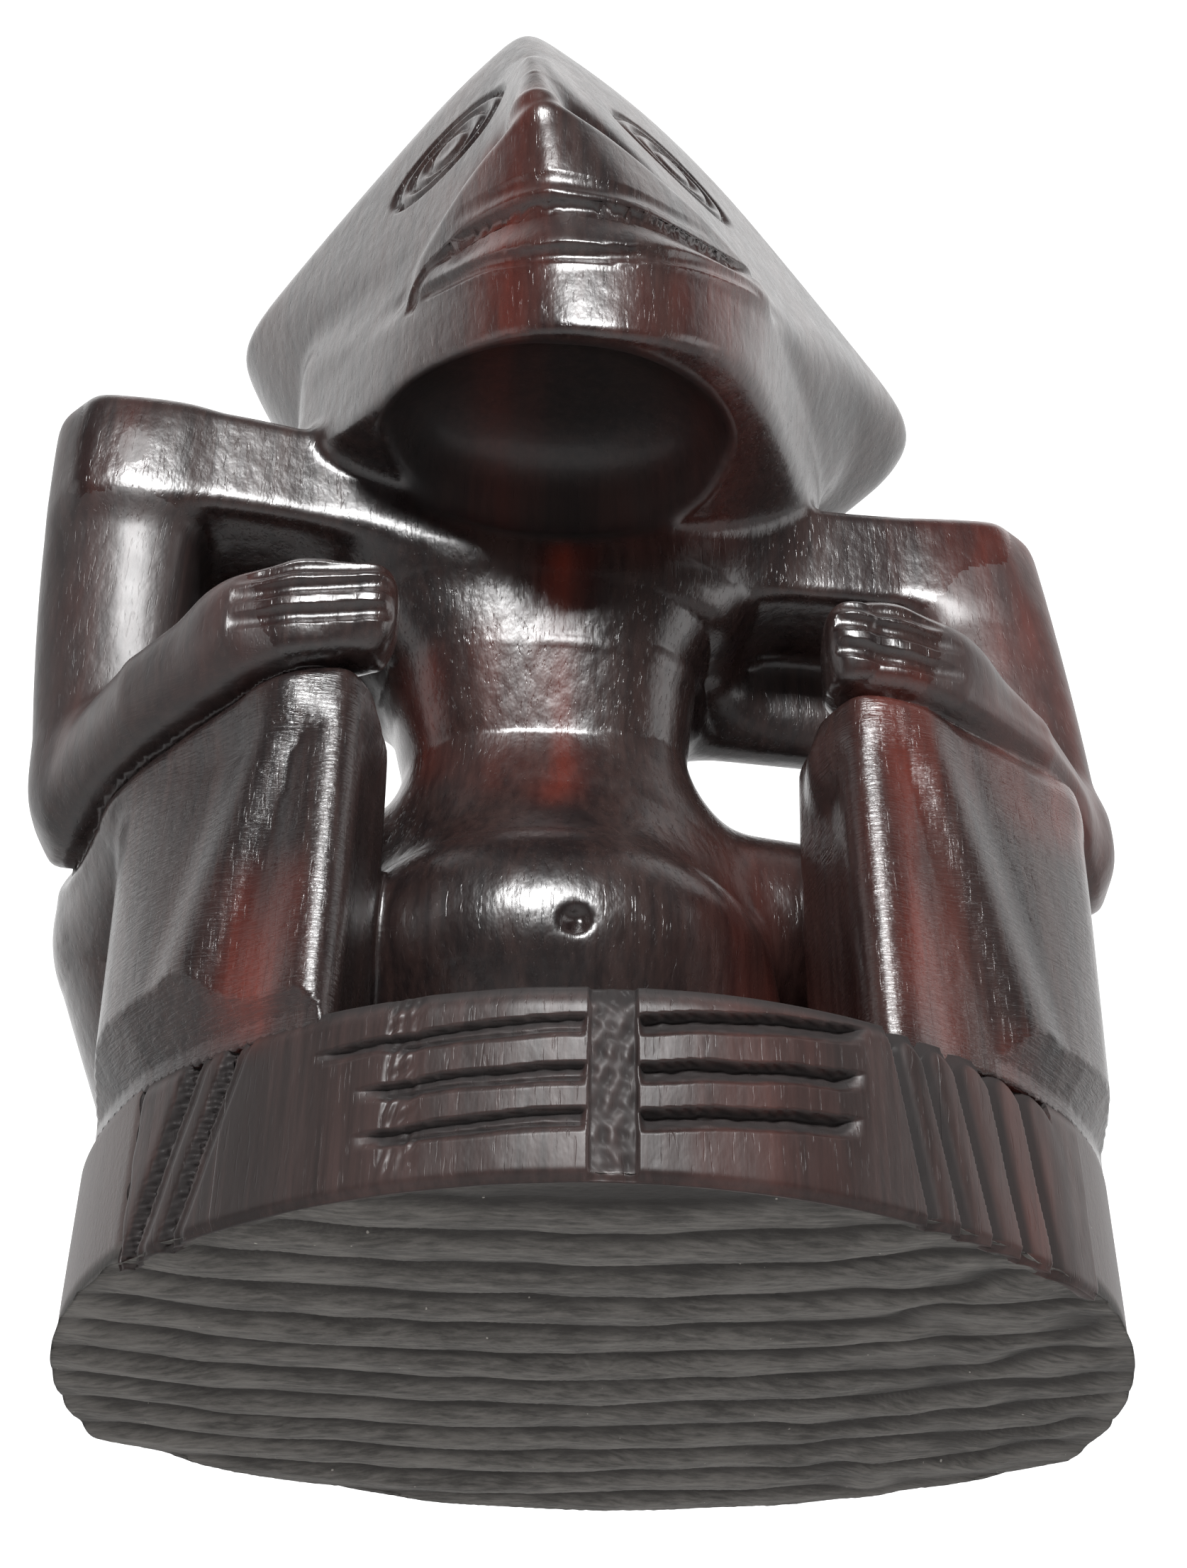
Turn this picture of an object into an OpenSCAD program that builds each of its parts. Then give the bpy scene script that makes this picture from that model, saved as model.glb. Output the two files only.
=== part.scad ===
// Carved figure headrest: a squatting figure on an oval plinth, cut from one block of dark wood.
// Millimetres, +Z up. The origin is the centre of the plinth's underside.
// The figure faces -Y. "left" is the -X side and "right" the +X side, as seen from the front.
// Every node is one carved region of the block. Neighbours meet face to face on cut surfaces.

/* [Plinth] */
// Width of the plinth at its widest
base_w = 106; // [85:1:150]
// Depth of the plinth, front to back
base_d = 81; // [65:1:115]
// Height of the plinth
base_h = 19; // [14:0.5:30]
// Number of gouge cuts across the underside
gouge_count = 12; // [8:2:16]
// Depth of each gouge cut
gouge_depth = 0.9; // [0.5:0.1:1.4]
// Thickness of the carved band round the front of the plinth
band_t = 4.5; // [3:0.5:7]
// Width of the plain rough strip at the middle of the band
strip_w = 5; // [3:0.5:9]
// Number of level cuts on each half of the band
band_cuts = 3; // [2:1:4]
// Depth of the cuts in the band and the toes
cut_depth = 1.2; // [0.6:0.1:2]
// Number of toes cut at each front corner
toe_count = 5; // [3:1:5]

/* [Figure] */
// Height from the resting surface to the top of the crown
total_h = 177; // [150:1:230]
// Width across the outer faces of the upper arms
shoulder_w = 124; // [105:1:150]
// Depth of the figure, nose to back
body_d = 80; // [68:1:100]
// Width of the head from side point to side point
head_w = 91; // [78:1:112]
// Stoutness of the arms and legs, 1 as drawn
stoutness = 1; // [0.9:0.02:1.15]

/* [Carver's hand] */
// How far the shoulders are turned round from the plinth, in degrees
shoulder_turn = 9; // [0:1:12]
// How far the head is turned, in degrees
head_turn = 3; // [0:1:8]
// How far the trunk has moved sideways at the chest
lean = 8; // [0:1:12]
// How far the shoulders have moved sideways
limb_lean = 6; // [0:1:8]
// How far the chin sits to one side of the plinth's middle
chin_shift = 2; // [0:1:5]
// How far the crown leans over from the chin
head_lean = 10; // [0:1:14]

/* [Details] */
// Width across the outer ring of an eye, along the eye
eye_len = 21; // [16:1:26]
// Height of an eye
eye_wide = 12; // [9:0.5:15]
// Depth of the ring cut in an eye
eye_cut = 1.2; // [0.6:0.1:2]
// Diameter of the drilled navel
navel_d = 2.2; // [1.5:0.1:4]
// Depth of the drilled navel
navel_depth = 5; // [2:0.5:10]
// Number of fingers on a hand
finger_count = 4; // [3:1:5]

/* [Hidden] */
facets = 20;
fine = 96;
big = 400;

// The sizes that the figure's proportions are drawn at, and how far this one is from them
drawn_w = 124;
drawn_d = 80;
drawn_h = 158;
drawn_head = 91;
drawn_base_w = 106;
drawn_base_d = 81;
fig_h = total_h - base_h;
kx = shoulder_w / drawn_w;
ky = body_d / drawn_d;
kz = fig_h / drawn_h;
kh = head_w / drawn_head;
kr = stoutness;
body = [kx, ky, kz];
skull = [kh, ky, kz];

// Plan of the plinth: a broad arc in front, short curved sides, and a flatter arc behind
half_w = base_w / 2;
half_d = base_d / 2;
corner_x = 0.415 * base_w;
corner_y = -0.25 * base_d;
front_sag = half_d + corner_y;
front_r = (corner_x * corner_x + front_sag * front_sag) / (2 * front_sag);
front_c = front_r - half_d;
side_c = 0.1 * base_d;
side_in = half_w - corner_x;
side_r = (side_in * side_in + (side_c - corner_y) * (side_c - corner_y)) / (2 * side_in);
heel_x = 0.405 * base_w;
back_sag = 0.155 * base_d;
back_r = (heel_x * heel_x + back_sag * back_sag) / (2 * back_sag);
round_r = 0.512 * base_w;
left_toe_from = 0.33 * base_w;
right_toe_from = 0.27 * base_w;
toe_to = corner_x;

function ease(t) = let(c = min(1, max(0, t))) c * c * (3 - 2 * c);
function spin(p, a) = [p.x * cos(a) - p.y * sin(a), p.x * sin(a) + p.y * cos(a), p.z];
function turned(x, y, z) =
  spin([x * kx, y * ky, base_h + z * kz], shoulder_turn * ease(z / 95 - 0.15));
// A place on a limb: sideways, forwards (minus) or back, and up from the plinth, as drawn
function at(x, y, z) = let(q = turned(x, y, z)) [q.x - limb_lean * z / 95, q.y, q.z];
// A place on the trunk, which leans more than the limbs do
function trunk(x, y, z) =
  let(q = turned(x, y, z)) [q.x - lean * pow(min(1, max(0, z) / 75), 0.8), q.y, q.z];
// A place on the head, which leans on from the chin up and is turned by its own amount
function on_head(x, y, z) =
  let(q = spin([x * kh, y * ky, base_h + z * kz], head_turn))
  [q.x - chin_shift - (head_lean * (z - 81)) / 75, q.y, q.z];
// A place on the plinth's top, which follows the plinth's own sizes
function on_base(x, y, z) = [x * base_w / drawn_base_w, y * base_d / drawn_base_d, base_h + z];

module pod(p, r, k = body) {
  translate(p) scale([r.x * k.x / 10, r.y * k.y / 10, r.z * k.z / 10]) sphere(r = 10, $fn = facets);
}
module chain(list) {
  for (i = [0 : len(list) - 2]) {
    hull() {
      pod(list[i][0], list[i][1] * kr);
      pod(list[i + 1][0], list[i + 1][1] * kr);
    }
  }
}
module above_plinth() {
  translate([-big / 2, -big / 2, base_h]) cube([big, big, big]);
}

// ---- plinth ----
module half_plan() {
  intersection() {
    translate([0, front_c]) circle(r = front_r, $fn = fine);
    translate([0, half_d - back_r]) circle(r = back_r, $fn = fine);
    union() {
      translate([half_w - side_r, side_c]) circle(r = side_r, $fn = fine);
      translate([0, -base_d]) square([0.98 * corner_x, 2 * base_d]);
    }
    union() {
      translate([0, 0.025 * base_d]) circle(r = round_r, $fn = fine);
      translate([0, -base_d]) square([heel_x, 2 * base_d]);
    }
    translate([0, -base_d]) square([base_w, 2 * base_d]);
  }
}
module plinth_plan() {
  half_plan();
  mirror([1, 0]) half_plan();
}
module plinth_block() {
  linear_extrude(height = base_h) plinth_plan();
}
module band_zone(x0, x1) {
  difference() {
    translate([x0, -base_d, -1]) cube([x1 - x0, base_d, base_h + 2]);
    translate([0, front_c, -2]) cylinder(r = front_r - band_t, h = base_h + 4, $fn = fine);
  }
}
module band_cut_rings() {
  pitch = 0.42 * base_h / (band_cuts - 1);
  cut_h = 0.3 * pitch;
  for (i = [0 : band_cuts - 1]) {
    translate([0, front_c, 0.44 * base_h + pitch * i]) difference() {
      cylinder(r = front_r + 1, h = cut_h, $fn = fine, center = true);
      cylinder(r = front_r - cut_depth, h = cut_h + 1, $fn = fine, center = true);
    }
  }
}
module front_band() {
  color("#4a3530") difference() {
    intersection() {
      plinth_block();
      band_zone(-left_toe_from, right_toe_from);
    }
    band_cut_rings();
    translate([-strip_w / 2, -half_d - 1, -1]) cube([strip_w, cut_depth + 1, base_h + 2]);
  }
}
module toes(side) {
  toe_from = side > 0 ? right_toe_from : left_toe_from;
  span = toe_to - toe_from;
  x0 = side > 0 ? toe_from : -toe_to;
  cuts = side > 0 ? toe_count : toe_count - 2;
  color("#43302c") difference() {
    intersection() {
      plinth_block();
      band_zone(x0, x0 + span);
    }
    for (i = [1 : cuts - 1]) {
      x = toe_from + span * i / cuts;
      y = front_c - sqrt(front_r * front_r - x * x);
      translate([side * x, y, base_h / 2]) rotate([0, 0, side * 35])
        cube([0.4 * span / cuts, 2 * cut_depth, base_h + 2], center = true);
    }
  }
}
module left_toes() {
  toes(-1);
}
module right_toes() {
  toes(1);
}
module base_slab() {
  pitch = base_d / gouge_count;
  cut_half = 0.37 * pitch;
  gouge_r = (cut_half * cut_half + gouge_depth * gouge_depth) / (2 * gouge_depth);
  color("#4b4744") difference() {
    plinth_block();
    band_zone(-toe_to, toe_to);
    for (i = [0 : gouge_count - 1]) {
      translate([0, -half_d + pitch * (i + 0.5), gouge_depth - gouge_r]) rotate([0, 90, 0])
        cylinder(r = gouge_r, h = 2 * base_w, center = true, $fn = fine);
    }
  }
}

// ---- legs ----
module shin_form(s) {
  hull() {
    pod(on_base(s * 31, -27, 0), [4.5, 4.5, 3]);
    pod(on_base(s * 46, -8, 0), [4.5, 4.5, 3]);
    pod(on_base(s * 32, -13, 0), [4, 4, 3]);
    pod(on_base(s * 42, 0, 0), [4, 4, 3]);
    pod(at(s * 28, -27, 37), [7, 6.5, 7] * kr);
    pod(at(s * 33, -19, 36), [7, 7, 7] * kr);
  }
}
module thigh_form(s) {
  chain([
    [at(s * 30, -23, 38), [8, 8, 8]],
    [at(s * 41, -9, 36), [11, 11, 11]],
    [at(s * 45, 5, 32), [13, 13, 15]],
    [on_base(s * 37, 9, 6), [12, 13, 7]]
  ]);
}
module belly_form() {
  chain([
    [trunk(-34, 8, 33), [12, 12, 14]],
    [trunk(0, 7, 34), [16, 14, 17]],
    [trunk(38, 8, 33), [12, 12, 14]]
  ]);
  chain([
    [trunk(0, 2, 38), [17, 13, 12]],
    [trunk(-3, -6, 21), [24, 16, 17]],
    [on_base(-3, 2, 2), [27, 20, 4]]
  ]);
  chain([
    [on_base(-34, 10, 4), [10, 13, 6]],
    [on_base(34, 10, 4), [10, 13, 6]]
  ]);
}

// ---- body ----
module chest_form() {
  chain([
    [trunk(0, 3, 38), [17, 12, 8]],
    [trunk(0, 3, 54), [16, 12, 8]],
    [trunk(0, 1, 66), [17, 12, 8]],
    [trunk(0, 0, 78), [19, 12.5, 8]],
    [trunk(0, 2, 87), [25, 13, 7]]
  ]);
}
module web_form(s) {
  hull() {
    pod(at(s * 18, 9, 70), [4, 4.5, 4]);
    pod(at(s * 50, 8, 70), [4, 4.5, 4]);
    pod(at(s * 18, 9, 88), [4, 6, 4]);
    pod(at(s * 52, 8, 88), [4, 6, 4]);
  }
  hull() {
    pod(at(s * 18, 2, 89), [6, 11, 8]);
    pod(at(s * 50, 1, 88.5), [6, 11, 8]);
  }
}
module upper_arm_form(s) {
  chain([
    [at(s * 52.5, 0, 88), [9.5, 11.5, 9]],
    [at(s * 53, 0, 76), [9, 11, 9]],
    [at(s * 53, -2, 58), [8, 9.5, 8]],
    [at(s * 52, -5, 43), [7.5, 7.5, 8]]
  ]);
}
module forearm_form(s) {
  chain([
    [at(s * 52, -5, 42), [7.5, 7.5, 8]],
    [at(s * 44, -16, 45), [7, 7, 7.5]],
    [at(s * 35, -24, 48), [6.5, 6.5, 7.5]]
  ]);
}
module hand_form(s) {
  chain([
    [at(s * 36, -23.5, 49), [6.5, 6, 7.5]],
    [at(s * 30, -28, 50), [6, 5.5, 7.5]],
    [at(s * 24 + (s > 0 ? 3 : 0), -30, 50), [4, 4.5, 6.5]]
  ]);
}

// ---- head ----
module neck_form() {
  hull() {
    pod(trunk(0, 4, 88), [28, 12, 5]);
    pod(on_head(-24, 3, 101), [9, 11, 5], skull);
    pod(on_head(21, 5, 101), [9, 11, 5], skull);
  }
}
module throat_hollow() {
  hull() {
    pod(on_head(-1, -16, 92), [19, 13, 9], skull);
    pod(trunk(2, -20, 84), [17, 9, 8]);
    pod(on_head(-1, -30, 78), [18, 10, 7], skull);
  }
}
module jaw_form() {
  hull() {
    pod(on_head(0, -37.5, 88), [5, 3.5, 4], skull);
    pod(on_head(-14, -31, 90), [4, 4, 4.5], skull);
    pod(on_head(14, -31, 90), [4, 4, 4.5], skull);
    pod(on_head(-18, -26, 102), [4, 4, 4], skull);
    pod(on_head(18, -26, 102), [4, 4, 4], skull);
    pod(on_head(0, -37, 96), [6, 4, 4], skull);
    pod(on_head(-25, 0, 98), [7, 8, 6], skull);
    pod(on_head(23, 2, 98), [7, 8, 6], skull);
  }
}
module head_form() {
  hull() {
    pod(on_head(-38, 5, 125), [3, 3, 4], skull);
    pod(on_head(46.5, 7, 120), [3, 3, 4], skull);
    pod(on_head(-1.5, -36.5, 131), [4, 4, 4], skull);
    pod(on_head(0, -23, drawn_h - 4), [4, 4, 4], skull);
    pod(on_head(-10, -21, 147), [4, 4, 4], skull);
    pod(on_head(12, -20, 147), [4, 4, 4], skull);
    pod(on_head(-22, -12, 140), [4, 4, 4], skull);
    pod(on_head(25, -13, 139), [4, 4, 4], skull);
    pod(on_head(0, 8, 148), [8, 8, 6], skull);
    pod(on_head(0, 15, 122), [18, 12, 14], skull);
    pod(on_head(-18, -25, 106), [5, 5, 5], skull);
    pod(on_head(18, -25, 106), [5, 5, 5], skull);
    pod(on_head(-27, 3, 101), [7, 9, 5], skull);
    pod(on_head(24, 6, 101), [7, 9, 5], skull);
  }
}
module nose_form() {
  hull() {
    pod(on_head(-3, -42.5, 117), [2.5, 2.5, 2.5], skull);
    pod(on_head(-1.5, -37, 132), [3, 3, 3], skull);
    pod(on_head(-17, -27, 105), [3, 3, 3], skull);
    pod(on_head(18, -27, 106), [3, 3, 3], skull);
    pod(on_head(0, -38.5, 106), [4, 2.5, 3], skull);
    pod(on_head(0, -24, 118), [8, 4, 6], skull);
  }
}
module crown_side() {
  translate(on_head(0, -40, 134)) rotate([12, 0, head_turn]) translate([-big / 2, -big / 2, 0])
    cube([big, big, big]);
}
module eye_place(s) {
  translate(on_head(s * 14, -27, 131)) rotate([0, 0, head_turn + s * 46]) rotate([73, 0, 0])
    rotate([0, 0, s * -18]) children();
}
module oval(len, wide, deep) {
  linear_extrude(height = deep, center = true)
    polygon([for (i = [0 : 39]) [len / 2 * cos(9 * i), wide / 2 * sin(9 * i)]]);
}
module eye_form(s) {
  eye_place(s) oval(eye_len, eye_wide, 9);
}
// The ring cut between an eye's lid and its ball, its floor eye_cut under the cheek
module eye_ring(s) {
  eye_place(s) translate([0, 0, 1.5 - eye_cut]) rotate([7, -5, 0]) translate([0, 0, 4])
    difference() {
      oval(0.74 * eye_len, 0.7 * eye_wide, 8);
      oval(0.52 * eye_len, 0.46 * eye_wide, 9);
    }
}

// ---- nodes of the figure ----
module shin(s) {
  color("#2b1c1a") difference() {
    intersection() {
      shin_form(s);
      above_plinth();
    }
    forearm_form(s);
    hand_form(s);
  }
}
module left_shin() {
  shin(-1);
}
module right_shin() {
  shin(1);
}
module thigh(s) {
  color("#2a1d1b") difference() {
    intersection() {
      thigh_form(s);
      above_plinth();
    }
    shin_form(s);
    forearm_form(s);
    hand_form(s);
    upper_arm_form(s);
  }
}
module left_thigh() {
  thigh(-1);
}
module right_thigh() {
  thigh(1);
}
module belly() {
  color("#2f2220") difference() {
    intersection() {
      belly_form();
      above_plinth();
    }
    for (s = [-1, 1]) {
      shin_form(s);
      thigh_form(s);
    }
    translate(trunk(-1, -20, 19)) rotate([90, 0, 0])
      cylinder(r = navel_d / 2, h = 2 * navel_depth, center = true, $fn = 24);
  }
}
module chest() {
  color("#33211e") difference() {
    chest_form();
    belly_form();
    throat_hollow();
  }
}
module web(s) {
  color("#251a19") difference() {
    web_form(s);
    chest_form();
    upper_arm_form(s);
    throat_hollow();
  }
}
module left_web() {
  web(-1);
}
module right_web() {
  web(1);
}
module upper_arm(s) {
  color("#3a2522") difference() {
    upper_arm_form(s);
    forearm_form(s);
  }
}
module left_upper_arm() {
  upper_arm(-1);
}
module right_upper_arm() {
  upper_arm(1);
}
module forearm(s) {
  color("#332422") difference() {
    forearm_form(s);
    hand_form(s);
  }
}
module left_forearm() {
  forearm(-1);
}
module right_forearm() {
  forearm(1);
}
module hand(s) {
  color("#2e211f") difference() {
    hand_form(s);
    for (i = [1 : finger_count - 1]) {
      z = 50 + 13 * (i / finger_count - 0.5);
      hull() {
        pod(at(s * 20, -34, z), [1, 1.6, 0.5]);
        pod(at(s * 33, -31, z - 1), [1, 1.6, 0.5]);
      }
    }
  }
}
module left_hand() {
  hand(-1);
}
module right_hand() {
  hand(1);
}
module neck() {
  color("#1f1413") difference() {
    neck_form();
    throat_hollow();
    chest_form();
    web_form(-1);
    web_form(1);
  }
}
module jaw() {
  color("#35241f") difference() {
    jaw_form();
    throat_hollow();
    neck_form();
    web_form(-1);
    web_form(1);
    chest_form();
  }
}
module nose() {
  color("#3a1e1b") difference() {
    nose_form();
    jaw_form();
  }
}
module face() {
  color("#3b302e") difference() {
    head_form();
    crown_side();
    jaw_form();
    neck_form();
    nose_form();
    eye_form(-1);
    eye_form(1);
    web_form(-1);
    web_form(1);
  }
}
module eye(s) {
  color("#2a2120") difference() {
    intersection() {
      head_form();
      eye_form(s);
    }
    nose_form();
    crown_side();
    eye_ring(s);
  }
}
module left_eye() {
  eye(-1);
}
module right_eye() {
  eye(1);
}
module crown() {
  color("#3d3230") difference() {
    intersection() {
      head_form();
      crown_side();
    }
    nose_form();
  }
}

base_slab();
front_band();
left_toes();
right_toes();
left_shin();
right_shin();
left_thigh();
right_thigh();
belly();
chest();
left_web();
right_web();
left_upper_arm();
right_upper_arm();
left_forearm();
right_forearm();
left_hand();
right_hand();
neck();
jaw();
nose();
face();
left_eye();
right_eye();
crown();
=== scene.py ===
# %% [markdown]
# # A carved figure headrest
# A squatting figure with a wedge-shaped head, cut with its plinth from one block of dark heartwood.
# The carver would rough the block with an adze, pare the forms with a knife, cut the lines last,
# and rub the wood with oil until it shines. Only the underside is left as the gouge left it.
#
# The CAD nodes give the size and place of every region. Here the same regions are surfaced again
# as one continuous skin, because in the real block one form runs into the next with no seam.

# %% load the frame
import math

import bmesh
import bpy
import numpy as np
from mathutils import Matrix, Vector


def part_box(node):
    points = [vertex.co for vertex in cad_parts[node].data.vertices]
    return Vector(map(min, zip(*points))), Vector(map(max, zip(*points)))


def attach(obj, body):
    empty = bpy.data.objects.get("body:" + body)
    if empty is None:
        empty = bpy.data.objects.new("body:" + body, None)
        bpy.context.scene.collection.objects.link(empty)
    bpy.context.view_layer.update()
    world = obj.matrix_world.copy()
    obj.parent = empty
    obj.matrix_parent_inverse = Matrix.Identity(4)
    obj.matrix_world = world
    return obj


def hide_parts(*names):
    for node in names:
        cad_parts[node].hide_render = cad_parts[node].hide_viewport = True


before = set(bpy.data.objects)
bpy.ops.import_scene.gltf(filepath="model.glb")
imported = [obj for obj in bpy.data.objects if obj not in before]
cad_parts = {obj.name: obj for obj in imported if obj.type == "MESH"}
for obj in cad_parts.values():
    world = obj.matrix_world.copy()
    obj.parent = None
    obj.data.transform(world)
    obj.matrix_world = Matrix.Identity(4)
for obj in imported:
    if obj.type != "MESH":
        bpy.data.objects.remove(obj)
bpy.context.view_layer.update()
rng = np.random.default_rng(7)
print("CAD nodes:", len(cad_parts))

# %% [markdown]
# ## The figure's own measures
# Everything is worked out in millimetres and turned to metres when a mesh is made. The figure
# leans and twists as the carver left it, so a place on a limb, the trunk or the head goes through
# a small function that adds the lean and the turn to an upright drawing.

# %% measures taken from the CAD nodes
def node_box(name):
    """Lowest and highest corner of a CAD node, in millimetres."""
    lo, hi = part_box(name)
    return np.array(lo) * 1000.0, np.array(hi) * 1000.0


SLAB_LO, SLAB_HI = node_box("base_slab")
BAND_LO, BAND_HI = node_box("front_band")
BASE_H = SLAB_HI[2]
BASE_W = SLAB_HI[0] - SLAB_LO[0]
BASE_D = SLAB_HI[1] * 2.0
ARM_SPAN = node_box("right_upper_arm")[1][0] - node_box("left_upper_arm")[0][0]
HEAD_SPAN = node_box("face")[1][0] - node_box("face")[0][0]
HEAD_DEPTH = node_box("face")[1][1] - node_box("nose")[0][1]
TOP = node_box("crown")[1][2]
KX = ARM_SPAN / 124.1
KY = HEAD_DEPTH / 71.9
KZ = (TOP - BASE_H) / 158.0
KH = HEAD_SPAN / 90.8
BODY = np.array([KX, KY, KZ])
SKULL = np.array([KH, KY, KZ])


def ease(t):
    t = min(1.0, max(0.0, t))
    return t * t * (3 - 2 * t)


def spin(p, degrees):
    a = math.radians(degrees)
    return np.array([p[0] * math.cos(a) - p[1] * math.sin(a), p[0] * math.sin(a) + p[1] * math.cos(a), p[2]])


def turned(x, y, z):
    """An upright place, scaled to this figure and turned about the plinth's middle by up to 9 degrees."""
    return spin((x * KX, y * KY, BASE_H + z * KZ), 9 * ease(z / 95 - 0.15))


def at(x, y, z):
    """A place on a limb, which drifts sideways as it rises."""
    return turned(x, y, z) - np.array([6 * z / 95, 0, 0])


def trunk(x, y, z):
    """A place on the trunk, which drifts further than the limbs."""
    return turned(x, y, z) - np.array([8 * min(1, max(0, z) / 75) ** 0.8, 0, 0])


def on_head(x, y, z):
    """A place on the head, which is turned 3 degrees and leans from the chin up."""
    return spin((x * KH, y * KY, BASE_H + z * KZ), 3) - np.array([2 + 10 * (z - 81) / 75, 0, 0])


def on_base(x, y, z):
    """A place on the top of the plinth."""
    return np.array([x * BASE_W / 106, y * BASE_D / 81, BASE_H + z])


def in_node(name, side, u, v, w):
    """A place in a node's box: u from its inner to its outer side, v front to back, w up."""
    lo, hi = node_box(name)
    x = hi[0] - u * (hi[0] - lo[0]) if side < 0 else lo[0] + u * (hi[0] - lo[0])
    return np.array([x, lo[1] + v * (hi[1] - lo[1]), lo[2] + w * (hi[2] - lo[2])])


print("plinth %.1f x %.1f x %.1f mm, figure to %.1f mm" % (BASE_W, BASE_D, BASE_H, TOP))

# %% [markdown]
# ## Forms as distance fields
# A distance field gives, for any point, how far it is outside a form (plus) or inside it (minus).
# Limbs are chains of swelling ovals. Blocky parts are flat facets with worn edges. Fields are
# blended where the real wood flows, and kept crisp where a knife line parts two forms.

# %% the field's building blocks
FAR = 30.0


class Form:
    """A distance function and the box that it lives in; points well outside the box are skipped."""

    def __init__(self, lo, hi, distance):
        self.lo, self.hi, self.distance = np.asarray(lo, float), np.asarray(hi, float), distance

    def __call__(self, p, reach=9.0):
        lo, hi = p.min(0), p.max(0)
        if (lo > self.hi + reach).any() or (hi < self.lo - reach).any():
            return np.full(len(p), FAR)
        return self.distance(p)


def limb(stations, square=2.0):
    """A chain of ovals. Between two stations the centre and the three radii change evenly,
    and the distance is the oval's own: k (k - 1) / |q / r^2| with k = |q / r|. A square of more
    than 2 takes the size |q / r| with that power, which gives flatter sides."""
    c = [np.asarray(s[0], float) for s in stations]
    r = [np.asarray(s[1], float) * BODY for s in stations]

    def distance(p):
        best = np.full(len(p), FAR)
        for a, b, ra, rb in zip(c[:-1], c[1:], r[:-1], r[1:]):
            axis = b - a
            t = np.clip((p - a) @ axis / max(axis @ axis, 1e-9), 0, 1)[:, None]
            rad = ra + t * (rb - ra)
            q = p - (a + t * axis)
            u = np.abs(q / rad)
            k = (u**square).sum(1) ** (1 / square)
            g = np.linalg.norm(u ** (square - 1) / rad, axis=1) / np.maximum(k, 1e-6) ** (square - 2)
            best = np.minimum(best, k * (k - 1) / np.maximum(g, 1e-6))
        return best

    pads = np.array(r)
    return Form((np.array(c) - pads).min(0), (np.array(c) + pads).max(0), distance)


def facets(points, worn=3.0, power=6):
    """The block whose corners are the points. Each facet gives n.p - d; the facets are joined by
    (sum of max(n.p - d + worn, 0)^power)^(1/power) - worn, which wears the edges round."""
    bm = bmesh.new()
    for q in points:
        bm.verts.new(q)
    bmesh.ops.convex_hull(bm, input=bm.verts)
    bmesh.ops.recalc_face_normals(bm, faces=bm.faces)
    planes = []
    for f in bm.faces:
        n = np.array(f.normal)
        d = n @ np.array(f.verts[0].co)
        if not any(n @ m > 0.998 and abs(d - e) < 0.3 for m, e in planes):
            planes.append((n, d))
    bm.free()
    normal = np.array([n for n, d in planes])
    offset = np.array([d for n, d in planes])

    def distance(p):
        e = np.maximum(p @ normal.T - offset + worn, 0)
        top = np.maximum(e.max(1), 1e-6)
        return top * ((e / top[:, None]) ** power).sum(1) ** (1 / power) - worn

    q = np.array(points)
    return Form(q.min(0), q.max(0), distance)


def oval_points(centre, radii, count=6):
    """Points spread over an oval, so that facets() can wrap it."""
    radii = np.asarray(radii, float) * SKULL
    u = np.linspace(0, 2 * np.pi, count, endpoint=False)
    pts = [np.asarray(centre) + np.array([0, 0, s * radii[2]]) for s in (-1, 1)]
    for lat in (-0.9, 0.0, 0.9):
        for a in u:
            pts.append(
                np.asarray(centre)
                + np.array([math.cos(lat) * math.cos(a) * radii[0], math.cos(lat) * math.sin(a) * radii[1], math.sin(lat) * radii[2]])
            )
    return pts


def melt(a, b, k):
    """Union whose inner corner is filled to a depth of about k / 4."""
    h = np.maximum(k - np.abs(a - b), 0) / k
    return np.minimum(a, b) - h * h * k * 0.25


def hollow_out(a, cutter, k):
    """What is left of a after the cutter is taken away, with the new edge worn by k."""
    h = np.maximum(k - np.abs(a + cutter), 0) / k
    return np.maximum(a, -cutter) + h * h * k * 0.25


print("field tools ready")

# %% [markdown]
# ## The regions of the carving
# One form for each region of the block, at the places that the CAD nodes give.

# %% legs
def shin_form(s):
    n = "left_shin" if s < 0 else "right_shin"
    foot = [(0.13, 0.00), (0.72, 0.18), (0.99, 0.50), (0.95, 0.95), (0.02, 0.60)]
    knee = [(0.15, 0.09), (0.36, 0.09), (1.02, 0.42), (1.02, 0.90), (0.00, 0.45)]
    pts = [in_node(n, s, u, v, -0.12) for u, v in foot]
    pts += [in_node(n, s, u, v, w) for (u, v), w in zip(knee, (1.00, 1.02, 0.97, 0.95, 1.0))]
    return facets(pts, 3.6, 4)


def shin_ridges(s):
    """The two worn ridges down the front of a shin."""
    n = "left_shin" if s < 0 else "right_shin"
    inner = limb([(in_node(n, s, 0.20, 0.075, -0.1), (2.3, 2.3, 2.3)), (in_node(n, s, 0.21, 0.15, 0.86), (2.1, 2.1, 2.1))])
    outer = limb([(in_node(n, s, 0.68, 0.235, -0.1), (2.3, 2.3, 2.3)), (in_node(n, s, 0.38, 0.15, 0.86), (2.1, 2.1, 2.1))])
    return lambda p: np.minimum(inner(p), outer(p))


def thigh_form(s):
    return limb([
        (at(s * 30, -23, 38), (8, 8, 8)),
        (at(s * 41, -9, 36), (11, 11, 11)),
        (at(s * 45, 5, 32), (13, 13, 15)),
        (on_base(s * 37, 9, 4), (12.5, 13, 9)),
    ])


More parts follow.
